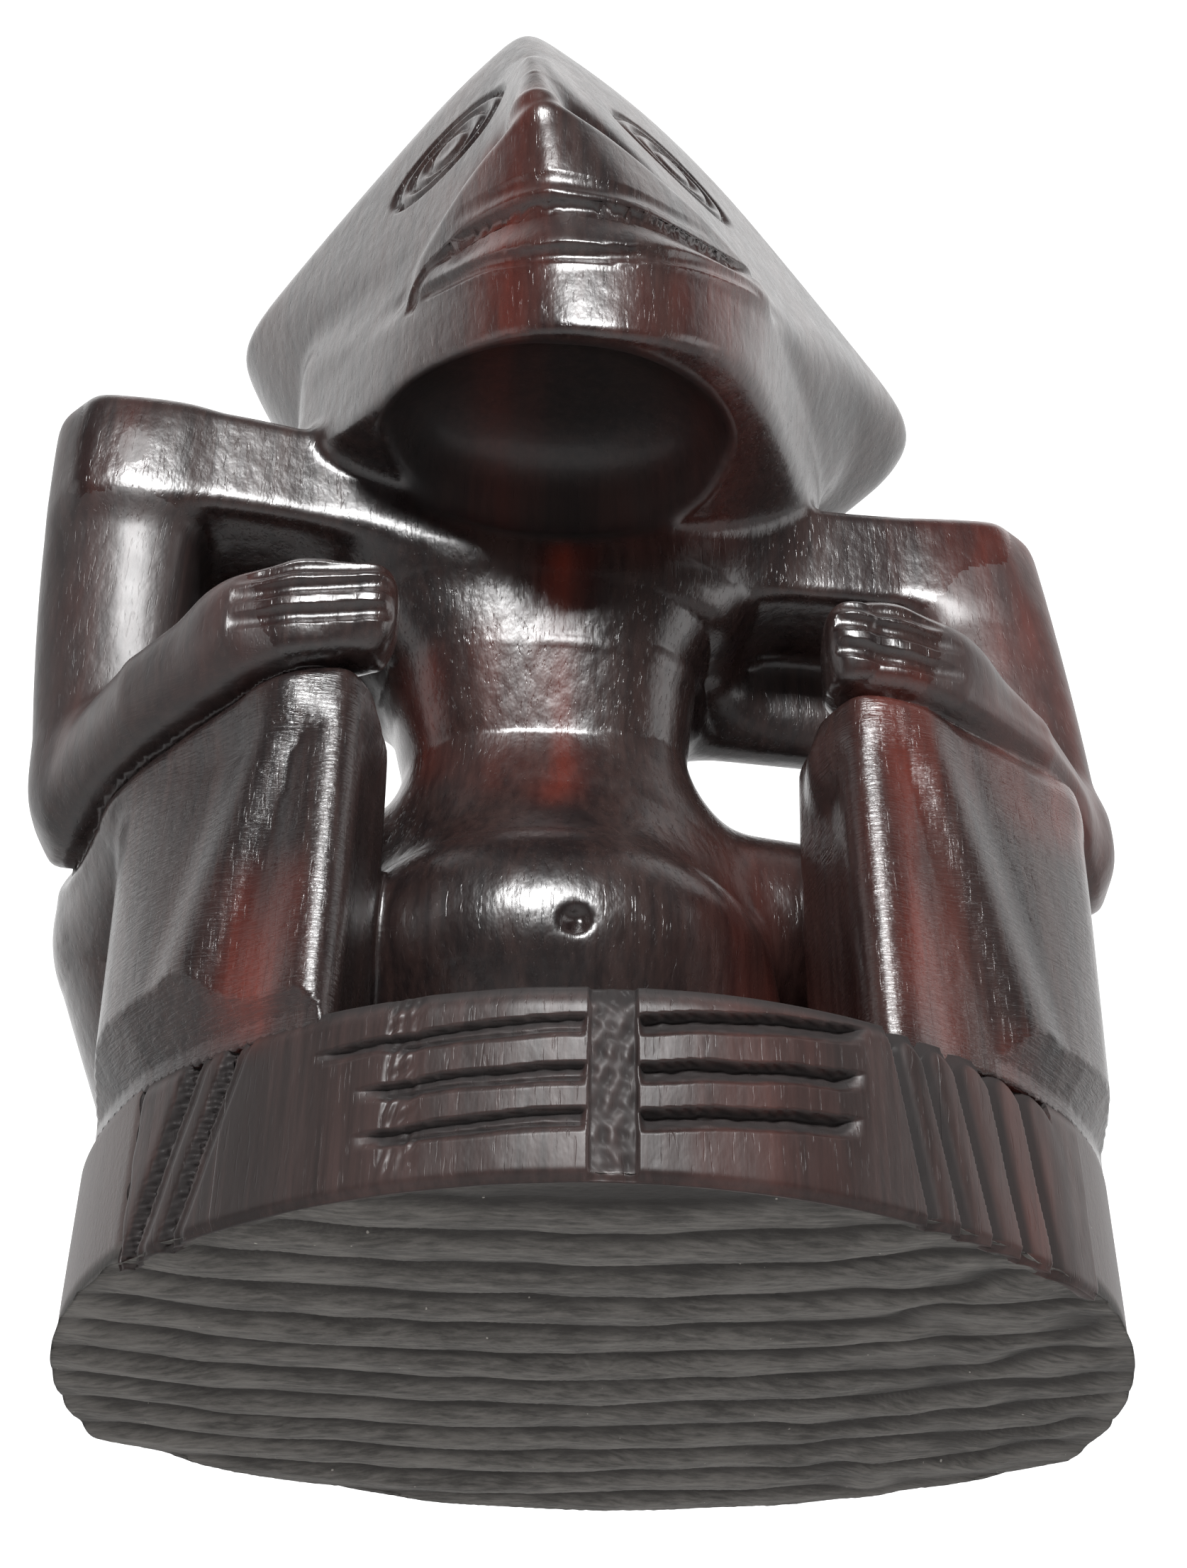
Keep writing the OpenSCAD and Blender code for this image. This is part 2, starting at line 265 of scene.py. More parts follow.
belly_bar = limb([(trunk(-34, 8, 33), (12, 12, 14)), (trunk(0, 7, 34), (16, 14, 17)), (trunk(38, 8, 33), (12, 12, 14))])
belly_ball = limb([(trunk(0, 2, 38), (17, 13, 12)), (trunk(-3, -6, 21), (24, 16, 17)), (on_base(-3, 2, 0), (26, 19, 6))])
seat = limb([(on_base(-34, 10, 7), (10, 13, 13)), (on_base(34, 10, 7), (10, 13, 13))])

# %% body and arms
chest_form = limb([
    (trunk(0, 3, 38), (17, 12, 8)),
    (trunk(0, 3, 54), (16.5, 12, 8)),
    (trunk(0, 1, 66), (18.5, 12.5, 8)),
    (trunk(0, 0, 76), (24, 13, 8)),
    (trunk(0, 2, 87), (30, 13, 7)),
], 2.7)


def plate_form(s):
    pts = []
    for x, z, ry in ((10, 69.5, 4.5), (52, 69.5, 4.5), (10, 88, 6), (53, 88, 6)):
        pts += oval_points(at(s * x, 9, z), (4, ry, 4), 6)
    return facets(pts, 2.5, 6)


def bar_form(s):
    """The shoulder: a flat-faced bar, flush with the front of the arm."""
    pts = []
    for x, y, z, ry, rz in ((12, 3, 88.5, 11, 7.5), (52, 1, 89.5, 11.5, 8.2)):
        c = at(s * x, y, z)
        pts += [c + BODY * (i * 5, j * ry, k * rz) for i in (-1, 1) for j in (-1, 1) for k in (-1.35, 0.7)]
        pts += [c + BODY * (i * 5, j * ry * 0.5, rz) for i in (-1, 1) for j in (-1, 1)]
    return facets(pts, 4.0, 4)


def upper_arm_form(s):
    """A broad flat-faced plate: corners at the shoulder, the elbow and between."""
    pts = []
    for x, y, z, rx, ry, rz in ((52.5, 0, 88, 9.8, 11.5, 9.3), (53, 0, 76, 9.5, 11, 9), (53, -2, 58, 8.6, 9.5, 8), (52, -5, 44, 8.0, 7.5, 7)):
        c = at(s * x, y, z)
        pts += [c + BODY * (i * rx, j * ry, k * rz) for i in (-1, 1) for j in (-0.78, 0.78) for k in (-0.72, 0.72)]
        pts += [c + BODY * (i * rx * 0.6, j * ry, 0) for i in (-1, 1) for j in (-1, 1)]
    pts += [at(s * 52.5, 0, 88) + BODY * (i * 5, j * 6, 9.3) for i in (-1, 1) for j in (-1, 1)]
    return facets(pts, 6.0, 4)


def forearm_form(s):
    return limb([
        (at(s * 52, -5, 42), (7.5, 7.5, 7.6)),
        (at(s * 44, -16, 45), (7, 7, 7.2)),
        (at(s * 35, -24, 48.5), (6.5, 6.3, 7.2)),
    ], 2.8)


def hand_form(s):
    return limb([
        (at(s * 36, -23, 49), (6.5, 6, 7.4)),
        (at(s * 30, -26.5, 50.3), (6, 5.3, 7.4)),
        (at(s * 24.5 + (2.5 if s > 0 else 0), -28.3, 50.5), (3.4, 4.0, 6.0)),
    ], 2.6)


# %% neck and head
neck_form = facets(
    oval_points(trunk(0, 4, 88), (28, 12, 5), 10)
    + oval_points(on_head(-24, 3, 101), (9, 11, 5), 8)
    + oval_points(on_head(21, 5, 101), (9, 11, 5), 8),
    4, 4,
)
def carved(x, y, z):
    """A place on the head as it stands on the finished figure, following the head's own size."""
    return np.array([x * KH, y * KY, BASE_H + (z - 19) * KZ])


throat_cut = facets(
    oval_points(carved(-6.5, -20, 112), (18.5, 13, 6), 12)
    + oval_points(carved(-6.5, -22.5, 102.5), (22.5, 15.5, 6), 12)
    + oval_points(carved(-6, -32, 93), (20, 14, 4), 12),
    4, 4,
)
jaw_form = facets(
    [carved(*q) for q in (
        (-8.0, -43.4, 113.5), (0.5, -43.2, 114.0), (-15.0, -40.6, 114.6), (6.5, -41.2, 116.0), (-24.8, -30.5, 117.5), (17.8, -31.0, 121.0), (11.0, -37.5, 118.5), (-19.0, -37.0, 115.5),
        (-7.0, -42.8, 100.4), (1.5, -42.4, 100.6), (-15.0, -39.0, 102.4), (10.5, -38.0, 104.0), (-24.0, -30.5, 106.0), (16.8, -30.0, 108.5),
        (-30.5, -22.0, 106.0), (20.5, -21.0, 109.0), (-39.5, -7.0, 114.5), (27.5, -2.0, 115.0), (-38.0, 6.0, 111.0), (27.5, 9.0, 112.0),
        (-6.0, -40.0, 126.0), (-39.0, -9.0, 130.0), (30.0, -4.0, 131.0), (-25.0, 10.0, 104.0), (17.0, 10.0, 104.0),
    )],
    3, 4,
)
head_form = facets(
    [carved(*q) for q in (
        (-51.5, 3.0, 148.0), (-49.0, 5.5, 140.0), (-50.0, 10.0, 146.0), (44.5, 7.5, 142.0), (42.5, 10.0, 134.0), (43.0, 14.0, 141.0),
        (-10.6, -41.5, 151.0), (-12.5, -27.5, 179.5), (-22.0, -25.0, 169.5), (2.0, -25.5, 169.0), (-34.5, -14.5, 160.0), (15.0, -15.0, 166.5),
        (-13.0, 12.0, 176.0), (-12.0, 29.0, 156.0), (-14.0, 29.0, 126.0), (-27.0, 24.0, 134.0), (7.0, 25.0, 134.0),
        (-24.0, -29.5, 122.0), (17.0, -30.0, 124.0), (-44.0, -1.0, 133.0), (33.0, 5.0, 130.5), (-38.5, -2.0, 120.0), (28.0, 4.0, 121.0),
        (-20.0, -34.5, 131.0), (6.0, -36.5, 135.5), (-33.0, 16.0, 118.0), (22.0, 18.0, 118.0),
    )],
    4.8, 3,
)
nose_form = facets(
    [carved(*q) for q in (
        (-10.3, -45.6, 137.0), (-14.5, -42.6, 135.4), (-5.2, -43.8, 137.6), (-17.6, -39.5, 132.9), (-21.2, -35.4, 130.0), (-24.6, -30.0, 124.6), (-24.9, -29.6, 119.0),
        (4.0, -38.2, 135.4), (11.4, -32.8, 131.6), (17.6, -29.8, 125.0), (17.9, -29.8, 121.5),
        (-10.5, -43.6, 126.0), (-1.0, -43.4, 127.0), (-8.0, -43.4, 113.0), (0.0, -43.0, 113.5), (-15.5, -40.2, 114.8), (6.5, -40.8, 116.0), (12.0, -36.5, 118.5), (-3.0, -20.0, 128.0), (-10.0, -30.0, 140.0),
    )],
    2.4, 4,
)
bridge_form = limb([
    (carved(-11.4, -35.0, 152.0), (1.5, 4.6, 4)),
    (carved(-10.9, -37.6, 146.0), (2.4, 4.8, 4)),
    (carved(-10.4, -39.8, 139.6), (3.6, 4.8, 3.5)),
])
SIDES = (-1, 1)
shins = {s: shin_form(s) for s in SIDES}
ridges = {s: shin_ridges(s) for s in SIDES}
thighs = {s: thigh_form(s) for s in SIDES}
plates = {s: plate_form(s) for s in SIDES}
bars = {s: bar_form(s) for s in SIDES}
upper_arms = {s: upper_arm_form(s) for s in SIDES}
forearms = {s: forearm_form(s) for s in SIDES}
hands = {s: hand_form(s) for s in SIDES}
print("forms ready")

# %% [markdown]
# ## Plan of the plinth
# A broad arc in front, a flatter one behind and short curved sides, as in the CAD. The legs rise
# flush from its edge.

# %% plan of the plinth
HALF_W, HALF_D = BASE_W / 2, BASE_D / 2
CORNER_X, CORNER_Y = 0.415 * BASE_W, -0.25 * BASE_D
FRONT_SAG = HALF_D + CORNER_Y
FRONT_R = (CORNER_X**2 + FRONT_SAG**2) / (2 * FRONT_SAG)
FRONT_C = FRONT_R - HALF_D
SIDE_C, SIDE_IN = 0.1 * BASE_D, HALF_W - CORNER_X
SIDE_R = (SIDE_IN**2 + (SIDE_C - CORNER_Y) ** 2) / (2 * SIDE_IN)
HEEL_X, BACK_SAG = 0.405 * BASE_W, 0.155 * BASE_D
BACK_R = (HEEL_X**2 + BACK_SAG**2) / (2 * BACK_SAG)


def outside_plan(x, y):
    """How far (x, y) is outside the plan."""
    x = np.abs(x)
    d = np.maximum(np.hypot(x, y - FRONT_C) - FRONT_R, np.hypot(x, y - (HALF_D - BACK_R)) - BACK_R)
    side = np.hypot(x - (HALF_W - SIDE_R), y - SIDE_C) - SIDE_R
    return np.maximum(d, np.where(x > 0.98 * CORNER_X, side, -1e3))


# %% [markdown]
# ## The whole field
# The forms are joined in the order in which they sit on one another.

# %% joining the forms
CUTS = []


def legs_field(p):
    body = melt(belly_ball(p), belly_bar(p), 6)
    body = melt(body, seat(p), 6)
    for s in SIDES:
        body = melt(body, thighs[s](p), 6)
    for s in SIDES:
        body = melt(body, melt(shins[s](p), ridges[s](p), 3.5), 1.2)
    # the legs rise flush from the plinth's wall and spread only further up
    rise = 0.62 * np.maximum(p[:, 2] - BASE_H - 1.0, 0)
    return np.maximum(body, outside_plan(p[:, 0], p[:, 1]) + 0.35 - rise)


def arms_field(p):
    out = np.full(len(p), FAR)
    for s in SIDES:
        arm = melt(upper_arms[s](p), forearms[s](p), 3)
        arm = melt(arm, hands[s](p), 2.5)
        arm = melt(arm, bars[s](p), 5)
        arm = melt(arm, plates[s](p), 2.5)
        out = np.minimum(out, arm)
    return out


def head_field(p):
    head = melt(head_form(p), jaw_form(p), 7)
    return melt(head, melt(bridge_form(p), nose_form(p), 4), 5)


def form_field(p):
    legs = legs_field(p)
    body = melt(legs, chest_form(p), 7)
    arms = arms_field(p)
    whole = np.where(p[:, 2] > node_mid, melt(body, arms, 8), 0)
    low = melt(body, arms, 5)
    gap = np.abs(body - arms)
    low = low + 1.7 * np.exp(-((gap / 1.3) ** 2)) * (low < 4)
    whole = np.where(p[:, 2] > node_mid, whole, low)
    whole = melt(whole, neck_form(p), 5)
    whole = melt(whole, head_field(p), 3)
    return hollow_out(whole, throat_cut(p), 2.0)


node_mid = node_box("left_hand")[1][2] + 1.0


def field(p):
    f = form_field(p)
    for cut in CUTS:
        f = cut(p, f)
    # the figure stands on the plinth: nothing of it goes under the plinth's top
    return np.maximum(f, BASE_H - 1.0 - p[:, 2])


# %% [markdown]
# ## From field to skin
# The field is sampled coarsely, then finely near the surface. Each cell that the surface crosses
# gets one point at the mean of its edge crossings, and four neighbours make a face.

# %% sampling
STEP = 0.74
COARSE = 6


def sample_field(lo, hi, step):
    n = (np.ceil((hi - lo) / step / COARSE).astype(int) + 1) * COARSE
    coarse_n = n // COARSE + 1
    axes = [lo[i] + step * COARSE * np.arange(coarse_n[i]) for i in range(3)]
    grid = np.stack(np.meshgrid(*axes, indexing="ij"), -1)
    coarse = np.empty(coarse_n)
    for i in range(coarse_n[0]):
        for j in range(0, coarse_n[1], 6):
            q = grid[i, j:j + 6].reshape(-1, 3)
            coarse[i, j:j + 6] = field_wide(q).reshape(-1, coarse_n[2])
    out = np.repeat(np.repeat(np.repeat(coarse, COARSE, 0), COARSE, 1), COARSE, 2)
    out = out[: n[0] + 1, : n[1] + 1, : n[2] + 1].astype(np.float32)
    near = np.abs(coarse) < step * COARSE * 1.5
    cells = near[:-1, :-1, :-1].copy()
    for di in (0, 1):
        for dj in (0, 1):
            for dk in (0, 1):
                cells |= near[di:di + cells.shape[0], dj:dj + cells.shape[1], dk:dk + cells.shape[2]]
    off = np.stack(np.meshgrid(*[np.arange(COARSE + 1)] * 3, indexing="ij"), -1).reshape(-1, 3)
    todo = np.argwhere(cells)
    for start in range(0, len(todo), 8):
        block = todo[start:start + 8]
        idx = (block[:, None, :] * COARSE + off[None]).reshape(-1, 3)
        val = field(lo + idx * step)
        out[idx[:, 0], idx[:, 1], idx[:, 2]] = val
    print("sampled", out.shape, "fine blocks", len(todo))
    return out


def field_wide(q):
    return field(q)


def skin_from(values, lo, step):
    """Surface nets: returns points and four-sided faces of the zero level."""
    inside = values < 0
    shape = np.array(values.shape)
    mixed = np.zeros(shape - 1, bool)
    first = inside[:-1, :-1, :-1]
    for di in (0, 1):
        for dj in (0, 1):
            for dk in (0, 1):
                mixed |= inside[di:shape[0] - 1 + di, dj:shape[1] - 1 + dj, dk:shape[2] - 1 + dk] != first
    cell = np.argwhere(mixed)
    number = np.full(mixed.shape, -1)
    number[tuple(cell.T)] = np.arange(len(cell))
    total = np.zeros((len(cell), 3))
    count = np.zeros(len(cell))
    for axis in range(3):
        for da in (0, 1):
            for db in (0, 1):
                start = cell.copy()
                others = [i for i in range(3) if i != axis]
                start[:, others[0]] += da
                start[:, others[1]] += db
                end = start.copy()
                end[:, axis] += 1
                a = values[tuple(start.T)].astype(float)
                b = values[tuple(end.T)].astype(float)
                hit = (a < 0) != (b < 0)
                t = np.where(hit, a / np.where(hit, a - b, 1), 0)
                pos = start.astype(float)
                pos[:, axis] += t
                total[hit] += pos[hit]
                count[hit] += 1
    points = lo + step * total / count[:, None]
    faces = []
    for axis in range(3):
        u, v = [(1, 2), (2, 0), (0, 1)][axis]
        sl = [slice(None)] * 3
        sl[axis] = slice(0, -1)
        a = inside[tuple(sl)]
        sl[axis] = slice(1, None)
        b = inside[tuple(sl)]
        edge = np.argwhere(a != b)
        edge = edge[(edge[:, u] > 0) & (edge[:, v] > 0) & (edge[:, u] < shape[u] - 1) & (edge[:, v] < shape[v] - 1)]
        out_first = a[tuple(edge.T)]
        quad = []
        for du, dv in ((1, 1), (0, 1), (0, 0), (1, 0)):
            c = edge.copy()
            c[:, u] -= du
            c[:, v] -= dv
            quad.append(number[tuple(c.T)])
        quad = np.stack(quad, 1)
        quad[~out_first] = quad[~out_first][:, ::-1]
        faces.append(quad)
    return points, np.concatenate(faces)


def slope(p, eps=0.12):
    """The field's value and its slope, from four tries round each point."""
    k = np.array([[1, -1, -1], [-1, -1, 1], [-1, 1, -1], [1, 1, 1]], float)
    vals = np.stack([field_by_place(p + eps * kk) for kk in k], 1)
    return vals.mean(1), vals @ k / (4 * eps)


def field_by_place(p, chunk=6000):
    order = np.lexsort((p[:, 0] // 9, p[:, 1] // 9, p[:, 2] // 9))
    out = np.empty(len(p))
    for i in range(0, len(p), chunk):
        j = order[i:i + chunk]
        out[j] = field(p[j])
    return out


def settle(p, rounds=2):
    """Moves each point down the slope until it lies on the surface."""
    for _ in range(rounds):
        f, g = slope(p)
        p = p - np.clip(f / np.maximum((g * g).sum(1), 0.05), -1, 1)[:, None] * g
    return p


def relax(p, faces):
    """Draws each point halfway to the mean of its neighbours."""
    total = np.zeros_like(p)
    count = np.zeros(len(p))
    for a, b in ((0, 1), (1, 2), (2, 3), (3, 0)):
        for i, j in ((faces[:, a], faces[:, b]), (faces[:, b], faces[:, a])):
            np.add.at(total, i, p[j])
            np.add.at(count, i, 1)
    return 0.5 * p + 0.5 * total / np.maximum(count, 1)[:, None]


nodes_all = [node_box(n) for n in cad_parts]
LO = np.min([b[0] for b in nodes_all], 0) - 3.0
HI = np.max([b[1] for b in nodes_all], 0) + 3.0
LO[2] = BASE_H - 3.0
values = sample_field(LO, HI, STEP)
points, quads = skin_from(values, LO, STEP)
points = settle(points, 1)
points = settle(relax(points, quads), 2)
print("skin:", len(points), "points", len(quads), "faces")

# %% [markdown]
# ## Sharing the skin out among the regions
# Every face belongs to the region whose form lies nearest, in the same order as in the CAD.
# Regions share their border points and their shading directions, so no seam shows.

# %% naming the faces
def eye_frame(s):
    """Centre and axes of an eye: along it, across it and out of the cheek."""
    def turn(axis, degrees):
        c, n = math.cos(math.radians(degrees)), math.sin(math.radians(degrees))
        return np.array([[c, -n, 0], [n, c, 0], [0, 0, 1]]) if axis == "z" else np.array([[1, 0, 0], [0, c, -n], [0, n, c]])

    return on_head(s * 14, -27, 131), turn("z", 3 + s * 46) @ turn("x", 73) @ turn("z", -18 * s)


def eye_reach(p, s):
    """How far out of an eye's oval a point is: 1 on the rim."""
    centre, axes = eye_frame(s)
    q = (p - centre) @ axes
    return np.hypot(q[:, 0] / 10.5, q[:, 1] / 6.0) + (np.abs(q[:, 2]) > 7) * 5


CROWN_N = np.array([0, -math.sin(math.radians(12)), math.cos(math.radians(12))])


def crown_reach(p):
    return -(p - on_head(0, -40, 134)) @ CROWN_N


def name_faces(centres):
    """For each face, the number of its region in REGION_NAMES."""
    best = np.full(len(centres), 1e9)
    label = np.zeros(len(centres), int)
    order = []
    for s, side in ((-1, "left"), (1, "right")):
        order += [
            (f"{side}_hand", hands[s], 0.0), (f"{side}_forearm", forearms[s], 0.05),
            (f"{side}_upper_arm", upper_arms[s], 0.2), (f"{side}_shin", shins[s], 0.1),
            (f"{side}_thigh", thighs[s], 0.2),
            (f"{side}_web", lambda p, s=s: np.minimum(bars[s](p), plates[s](p)), 0.5),
        ]
    order += [
        ("belly", lambda p: np.minimum(np.minimum(belly_ball(p), belly_bar(p)), seat(p)), 0.3),
        ("chest", chest_form, 0.4), ("neck", neck_form, 0.5), ("jaw", jaw_form, 0.4),
        ("nose", nose_form, -0.2), ("face", head_form, 0.6),
    ]
    for name, form, handicap in order:
        d = form(centres) + handicap
        win = d < best
        best[win] = d[win]
        label[win] = REGION_NAMES.index(name)
    head = label == REGION_NAMES.index("face")
    up = head & (crown_reach(centres) < 0)
    label[up] = REGION_NAMES.index("crown")
    for s, side in ((-1, "left"), (1, "right")):
        on = head & ~up & (eye_reach(centres, s) < 1.06)
        label[on] = REGION_NAMES.index(f"{side}_eye")
    return label


PLINTH_NAMES = ("base_slab", "front_band", "left_toes", "right_toes")
REGION_NAMES = [n for n in sorted(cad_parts) if n not in PLINTH_NAMES]


def triangles_of(p, quads):
    """Cuts each four-sided face along its shorter diagonal."""
    d0 = np.linalg.norm(p[quads[:, 0]] - p[quads[:, 2]], axis=1)
    d1 = np.linalg.norm(p[quads[:, 1]] - p[quads[:, 3]], axis=1)
    a = np.where((d0 <= d1)[:, None], quads[:, [0, 1, 2]], quads[:, [1, 2, 3]])
    b = np.where((d0 <= d1)[:, None], quads[:, [0, 2, 3]], quads[:, [1, 3, 0]])
    return np.concatenate([a, b])


def refine(p, tris, wanted):
    """Halves every edge of the wanted triangles; their neighbours are cut to match."""
    e = np.sort(tris[:, [0, 1, 1, 2, 2, 0]].reshape(-1, 2), axis=1)
    key = e[:, 0] * len(p) + e[:, 1]
    uniq, inv = np.unique(key, return_inverse=True)
    inv = inv.reshape(-1, 3)
    split = np.zeros(len(uniq), bool)
    split[inv[wanted].ravel()] = True
    new_id = np.full(len(uniq), -1)
    new_id[split] = len(p) + np.arange(split.sum())
    ends = np.stack([uniq[split] // len(p), uniq[split] % len(p)], 1)
    p = np.concatenate([p, p[ends].mean(1)])
    s = split[inv]
    m = new_id[inv]
    out = [tris[s.sum(1) == 0]]
    k = s.sum(1) == 3
    t, q = tris[k], m[k]
    out += [np.stack(c, 1) for c in (
        (t[:, 0], q[:, 0], q[:, 2]), (q[:, 0], t[:, 1], q[:, 1]), (q[:, 2], q[:, 1], t[:, 2]), (q[:, 0], q[:, 1], q[:, 2]))]
    for i in range(3):
        j, l = (i + 1) % 3, (i + 2) % 3
        k = (s.sum(1) == 1) & s[:, i]
        t, q = tris[k], m[k]
        out += [np.stack((t[:, i], q[:, i], t[:, l]), 1), np.stack((q[:, i], t[:, j], t[:, l]), 1)]
        k = (s.sum(1) == 2) & ~s[:, i]
        t, q = tris[k], m[k]
        out += [np.stack((t[:, i], t[:, j], q[:, j]), 1), np.stack((t[:, i], q[:, j], q[:, l]), 1), np.stack((q[:, l], q[:, j], t[:, l]), 1)]
    return p, np.concatenate(out)


tris = triangles_of(points, quads)

# %% [markdown]
# ## Lines cut into the skin
# The carver's last work: rings round the eyes, the mouth, fingers, and a drilled navel. Each is a
# groove that follows a path laid on the surface, so its depth is even whatever the form does.

# %% small tools for cuts
def smoothstep(a, b, x):
    t = np.clip((x - a) / (b - a), 0, 1)
    return t * t * (3 - 2 * t)


def ripple(u, v, length, seed, waves=7):
    """A smooth random ripple of the given wavelength, about -1 to 1: a sum of crossing waves."""
    r = np.random.default_rng(seed)
    total = np.zeros(np.broadcast(u, v).shape)
    for _ in range(waves):
        a, k, ph = r.uniform(0, np.pi), r.uniform(0.7, 1.5) * 2 * np.pi / length, r.uniform(0, 2 * np.pi)
        total = total + np.cos(k * (u * math.cos(a) + v * math.sin(a)) + ph)
    return total / waves * 1.6


def smooth_path(points, count=40):
    """A curve through the points (Catmull-Rom)."""
    p = np.asarray(points, float)
    p = np.vstack([2 * p[0] - p[1], p, 2 * p[-1] - p[-2]])
    out = []
    per = max(2, count // (len(p) - 3))
    for i in range(1, len(p) - 2):
        t = np.linspace(0, 1, per, endpoint=(i == len(p) - 3))[:, None]
        a, b, c, d = p[i - 1], p[i], p[i + 1], p[i + 2]
        out.append(0.5 * (2 * b + (c - a) * t + (2 * a - 5 * b + 4 * c - d) * t**2 + (3 * b - a - 3 * c + d) * t**3))
    return np.vstack(out)


def groove(path, width, depth, ends=0.3):
    """A cut along a path: depth * (1 - (distance / width)^2)^1.5, dying away over the last bit of each end."""
    path = settle(smooth_path(path), 3)
    along = np.linspace(0, 1, len(path))
    fade = np.clip(np.minimum(along, 1 - along) / max(ends, 1e-3), 0, 1) ** 0.6 if ends > 0 else np.ones(len(path))
    lo, hi = path.min(0) - width, path.max(0) + width

    def cut(p, f):
        near = ((p > lo) & (p < hi)).all(1) & (np.abs(f) < 3 * width + depth)
        if not near.any():
            return f
        q = p[near]
        best = np.full(len(q), 1e9)
        amount = np.zeros(len(q))
        for a, b, wa, wb in zip(path[:-1], path[1:], fade[:-1], fade[1:]):
            ab = b - a
            t = np.clip((q - a) @ ab / max(ab @ ab, 1e-9), 0, 1)
            d = np.linalg.norm(q - (a + t[:, None] * ab), axis=1)
            closer = d < best
            best = np.where(closer, d, best)
            amount = np.where(closer, wa + t * (wb - wa), amount)
        f = f.copy()
        f[near] += depth * amount * np.clip(1 - (best / width) ** 2, 0, 1) ** 1.5
        return f

    return cut


def eye_cuts(s):
    centre, axes = eye_frame(s)

    def cut(p, f):
        near = (np.linalg.norm(p - centre, axis=1) < 14) & (np.abs(f) < 3)
        if not near.any():
            return f
        q = (p[near] - centre) @ axes
        r = np.hypot(q[:, 0] / 10.5, q[:, 1] / 6.0)
        ball = np.hypot(q[:, 0] / 3.6, q[:, 1] / 2.7)
        add = 1.0 * np.exp(-(((r - 0.92) / 0.075) ** 2)) + 0.85 * np.exp(-(((r - 0.64) / 0.07) ** 2))
        add += 0.8 * np.exp(-(((ball - 1.0) / 0.22) ** 2)) + 0.25 * np.exp(-((ball / 0.5) ** 2))
        f = f.copy()
        f[near] += add
        return f

    return cut


navel_at = trunk(-1, -20, 19)


def navel_cut(p, f):
    r = np.hypot(p[:, 0] - navel_at[0], p[:, 2] - navel_at[2])
    return np.where((r < 3) & (p[:, 1] < 0), f + 1.6 * np.exp(-((r / 1.1) ** 2)), f)


MOUTH_TOP = [carved(*q) for q in (
    (-24.5, -29.0, 116.5), (-22.0, -31.5, 121.5), (-18.5, -35.5, 122.5), (-13.5, -39.5, 121.5), (-6.5, -42.5, 120.5),
    (0.0, -42.0, 121.0), (6.0, -39.0, 122.0), (11.5, -34.5, 123.5), (16.0, -29.0, 125.0), (17.5, -28.0, 121.5))]
MOUTH_LOW = [carved(*q) for q in (
    (-22.5, -31.0, 118.0), (-17.0, -37.0, 115.5), (-10.5, -41.0, 113.5), (-3.5, -42.5, 113.0), (3.5, -40.5, 115.0), (9.5, -36.5, 118.0), (15.5, -30.5, 121.5))]


def mouth_hollow(p, f):
    """Between the two mouth lines the wood goes back: deepest under the upper edge, none at the lower lip."""
    top, low = (np.array(q)[np.argsort(np.array(q)[:, 0])] for q in (MOUTH_TOP[1:-1], MOUTH_LOW))
    zt = np.interp(p[:, 0], top[:, 0], top[:, 2])
    zl = np.interp(p[:, 0], low[:, 0], low[:, 2])
    share = (p[:, 2] - zl) / np.maximum(zt - zl, 0.3)
    inside = (p[:, 0] > low[0, 0]) & (p[:, 0] < low[-1, 0]) & (p[:, 1] < -20 * KY) & (np.abs(f) < 4)
    amount = np.where(share < 1, np.clip(share, 0, 1), np.clip(1 - (p[:, 2] - zt) / 1.6, 0, 1))
    ends = smoothstep(low[0, 0], low[0, 0] + 4, p[:, 0]) * smoothstep(low[-1, 0], low[-1, 0] - 4, p[:, 0])
    amount = amount * amount * (3 - 2 * amount)
    return np.where(inside, f + 1.15 * amount * ends, f)


def finger_cuts(s):
    """Fingers: three cuts along the back of each hand."""
    n = "left_hand" if s < 0 else "right_hand"
    cuts = []
    for k, (w0, w1) in enumerate(((0.80, 0.90), (0.56, 0.68), (0.32, 0.44))):
        path = [in_node(n, s, u, 0.06, w0 + (w1 - w0) * t) for u, t in ((0.86, 0), (0.55, 0.3), (0.2, 0.7), (-0.02, 1))]
        cuts.append(groove(path, 1.25, 1.0, 0.35))
    return cuts


CUTS += [mouth_hollow]
CUTS += [groove(MOUTH_TOP, 1.25, 0.8, 0.05), groove(MOUTH_LOW, 1.3, 0.75, 0.1)]
CUTS += [groove([carved(*q) for q in ((-20, -36, 126.6), (-12, -40.5, 124.8), (-3.5, -43, 124.2), (5, -40.5, 126.0), (11, -35, 128.0))], 1.6, 0.45, 0.4)]
CUTS += finger_cuts(-1) + finger_cuts(1)
CUTS += [eye_cuts(-1), eye_cuts(1), navel_cut]
print("cuts:", len(CUTS))

# %% settle the skin with its cuts, finely where the cuts are
def wants_detail(c):
    """Faces near the eyes, nose, mouth, chin and hands are halved again."""
    wanted = np.zeros(len(c), bool)
    for name, pad in (("nose", 1.0), ("jaw", 0.0), ("left_eye", 1.0), ("right_eye", 1.0), ("left_hand", 1.5), ("right_hand", 1.5)):
        lo, hi = node_box(name)
        front = (c[:, 1] < lo[1] + 0.75 * (hi[1] - lo[1])) if name != "jaw" else (c[:, 1] < -22)
        wanted |= ((c > lo - pad) & (c < hi + pad)).all(1) & front
    return wanted


points, tris = refine(points, tris, wants_detail(points[tris].mean(1)))
points = settle(points, 2)
_, shade = slope(points, 0.09)
shade /= np.linalg.norm(shade, axis=1, keepdims=True)
labels = name_faces(points[tris].mean(1))
print("skin with cuts:", len(points), "points", len(tris), "triangles")

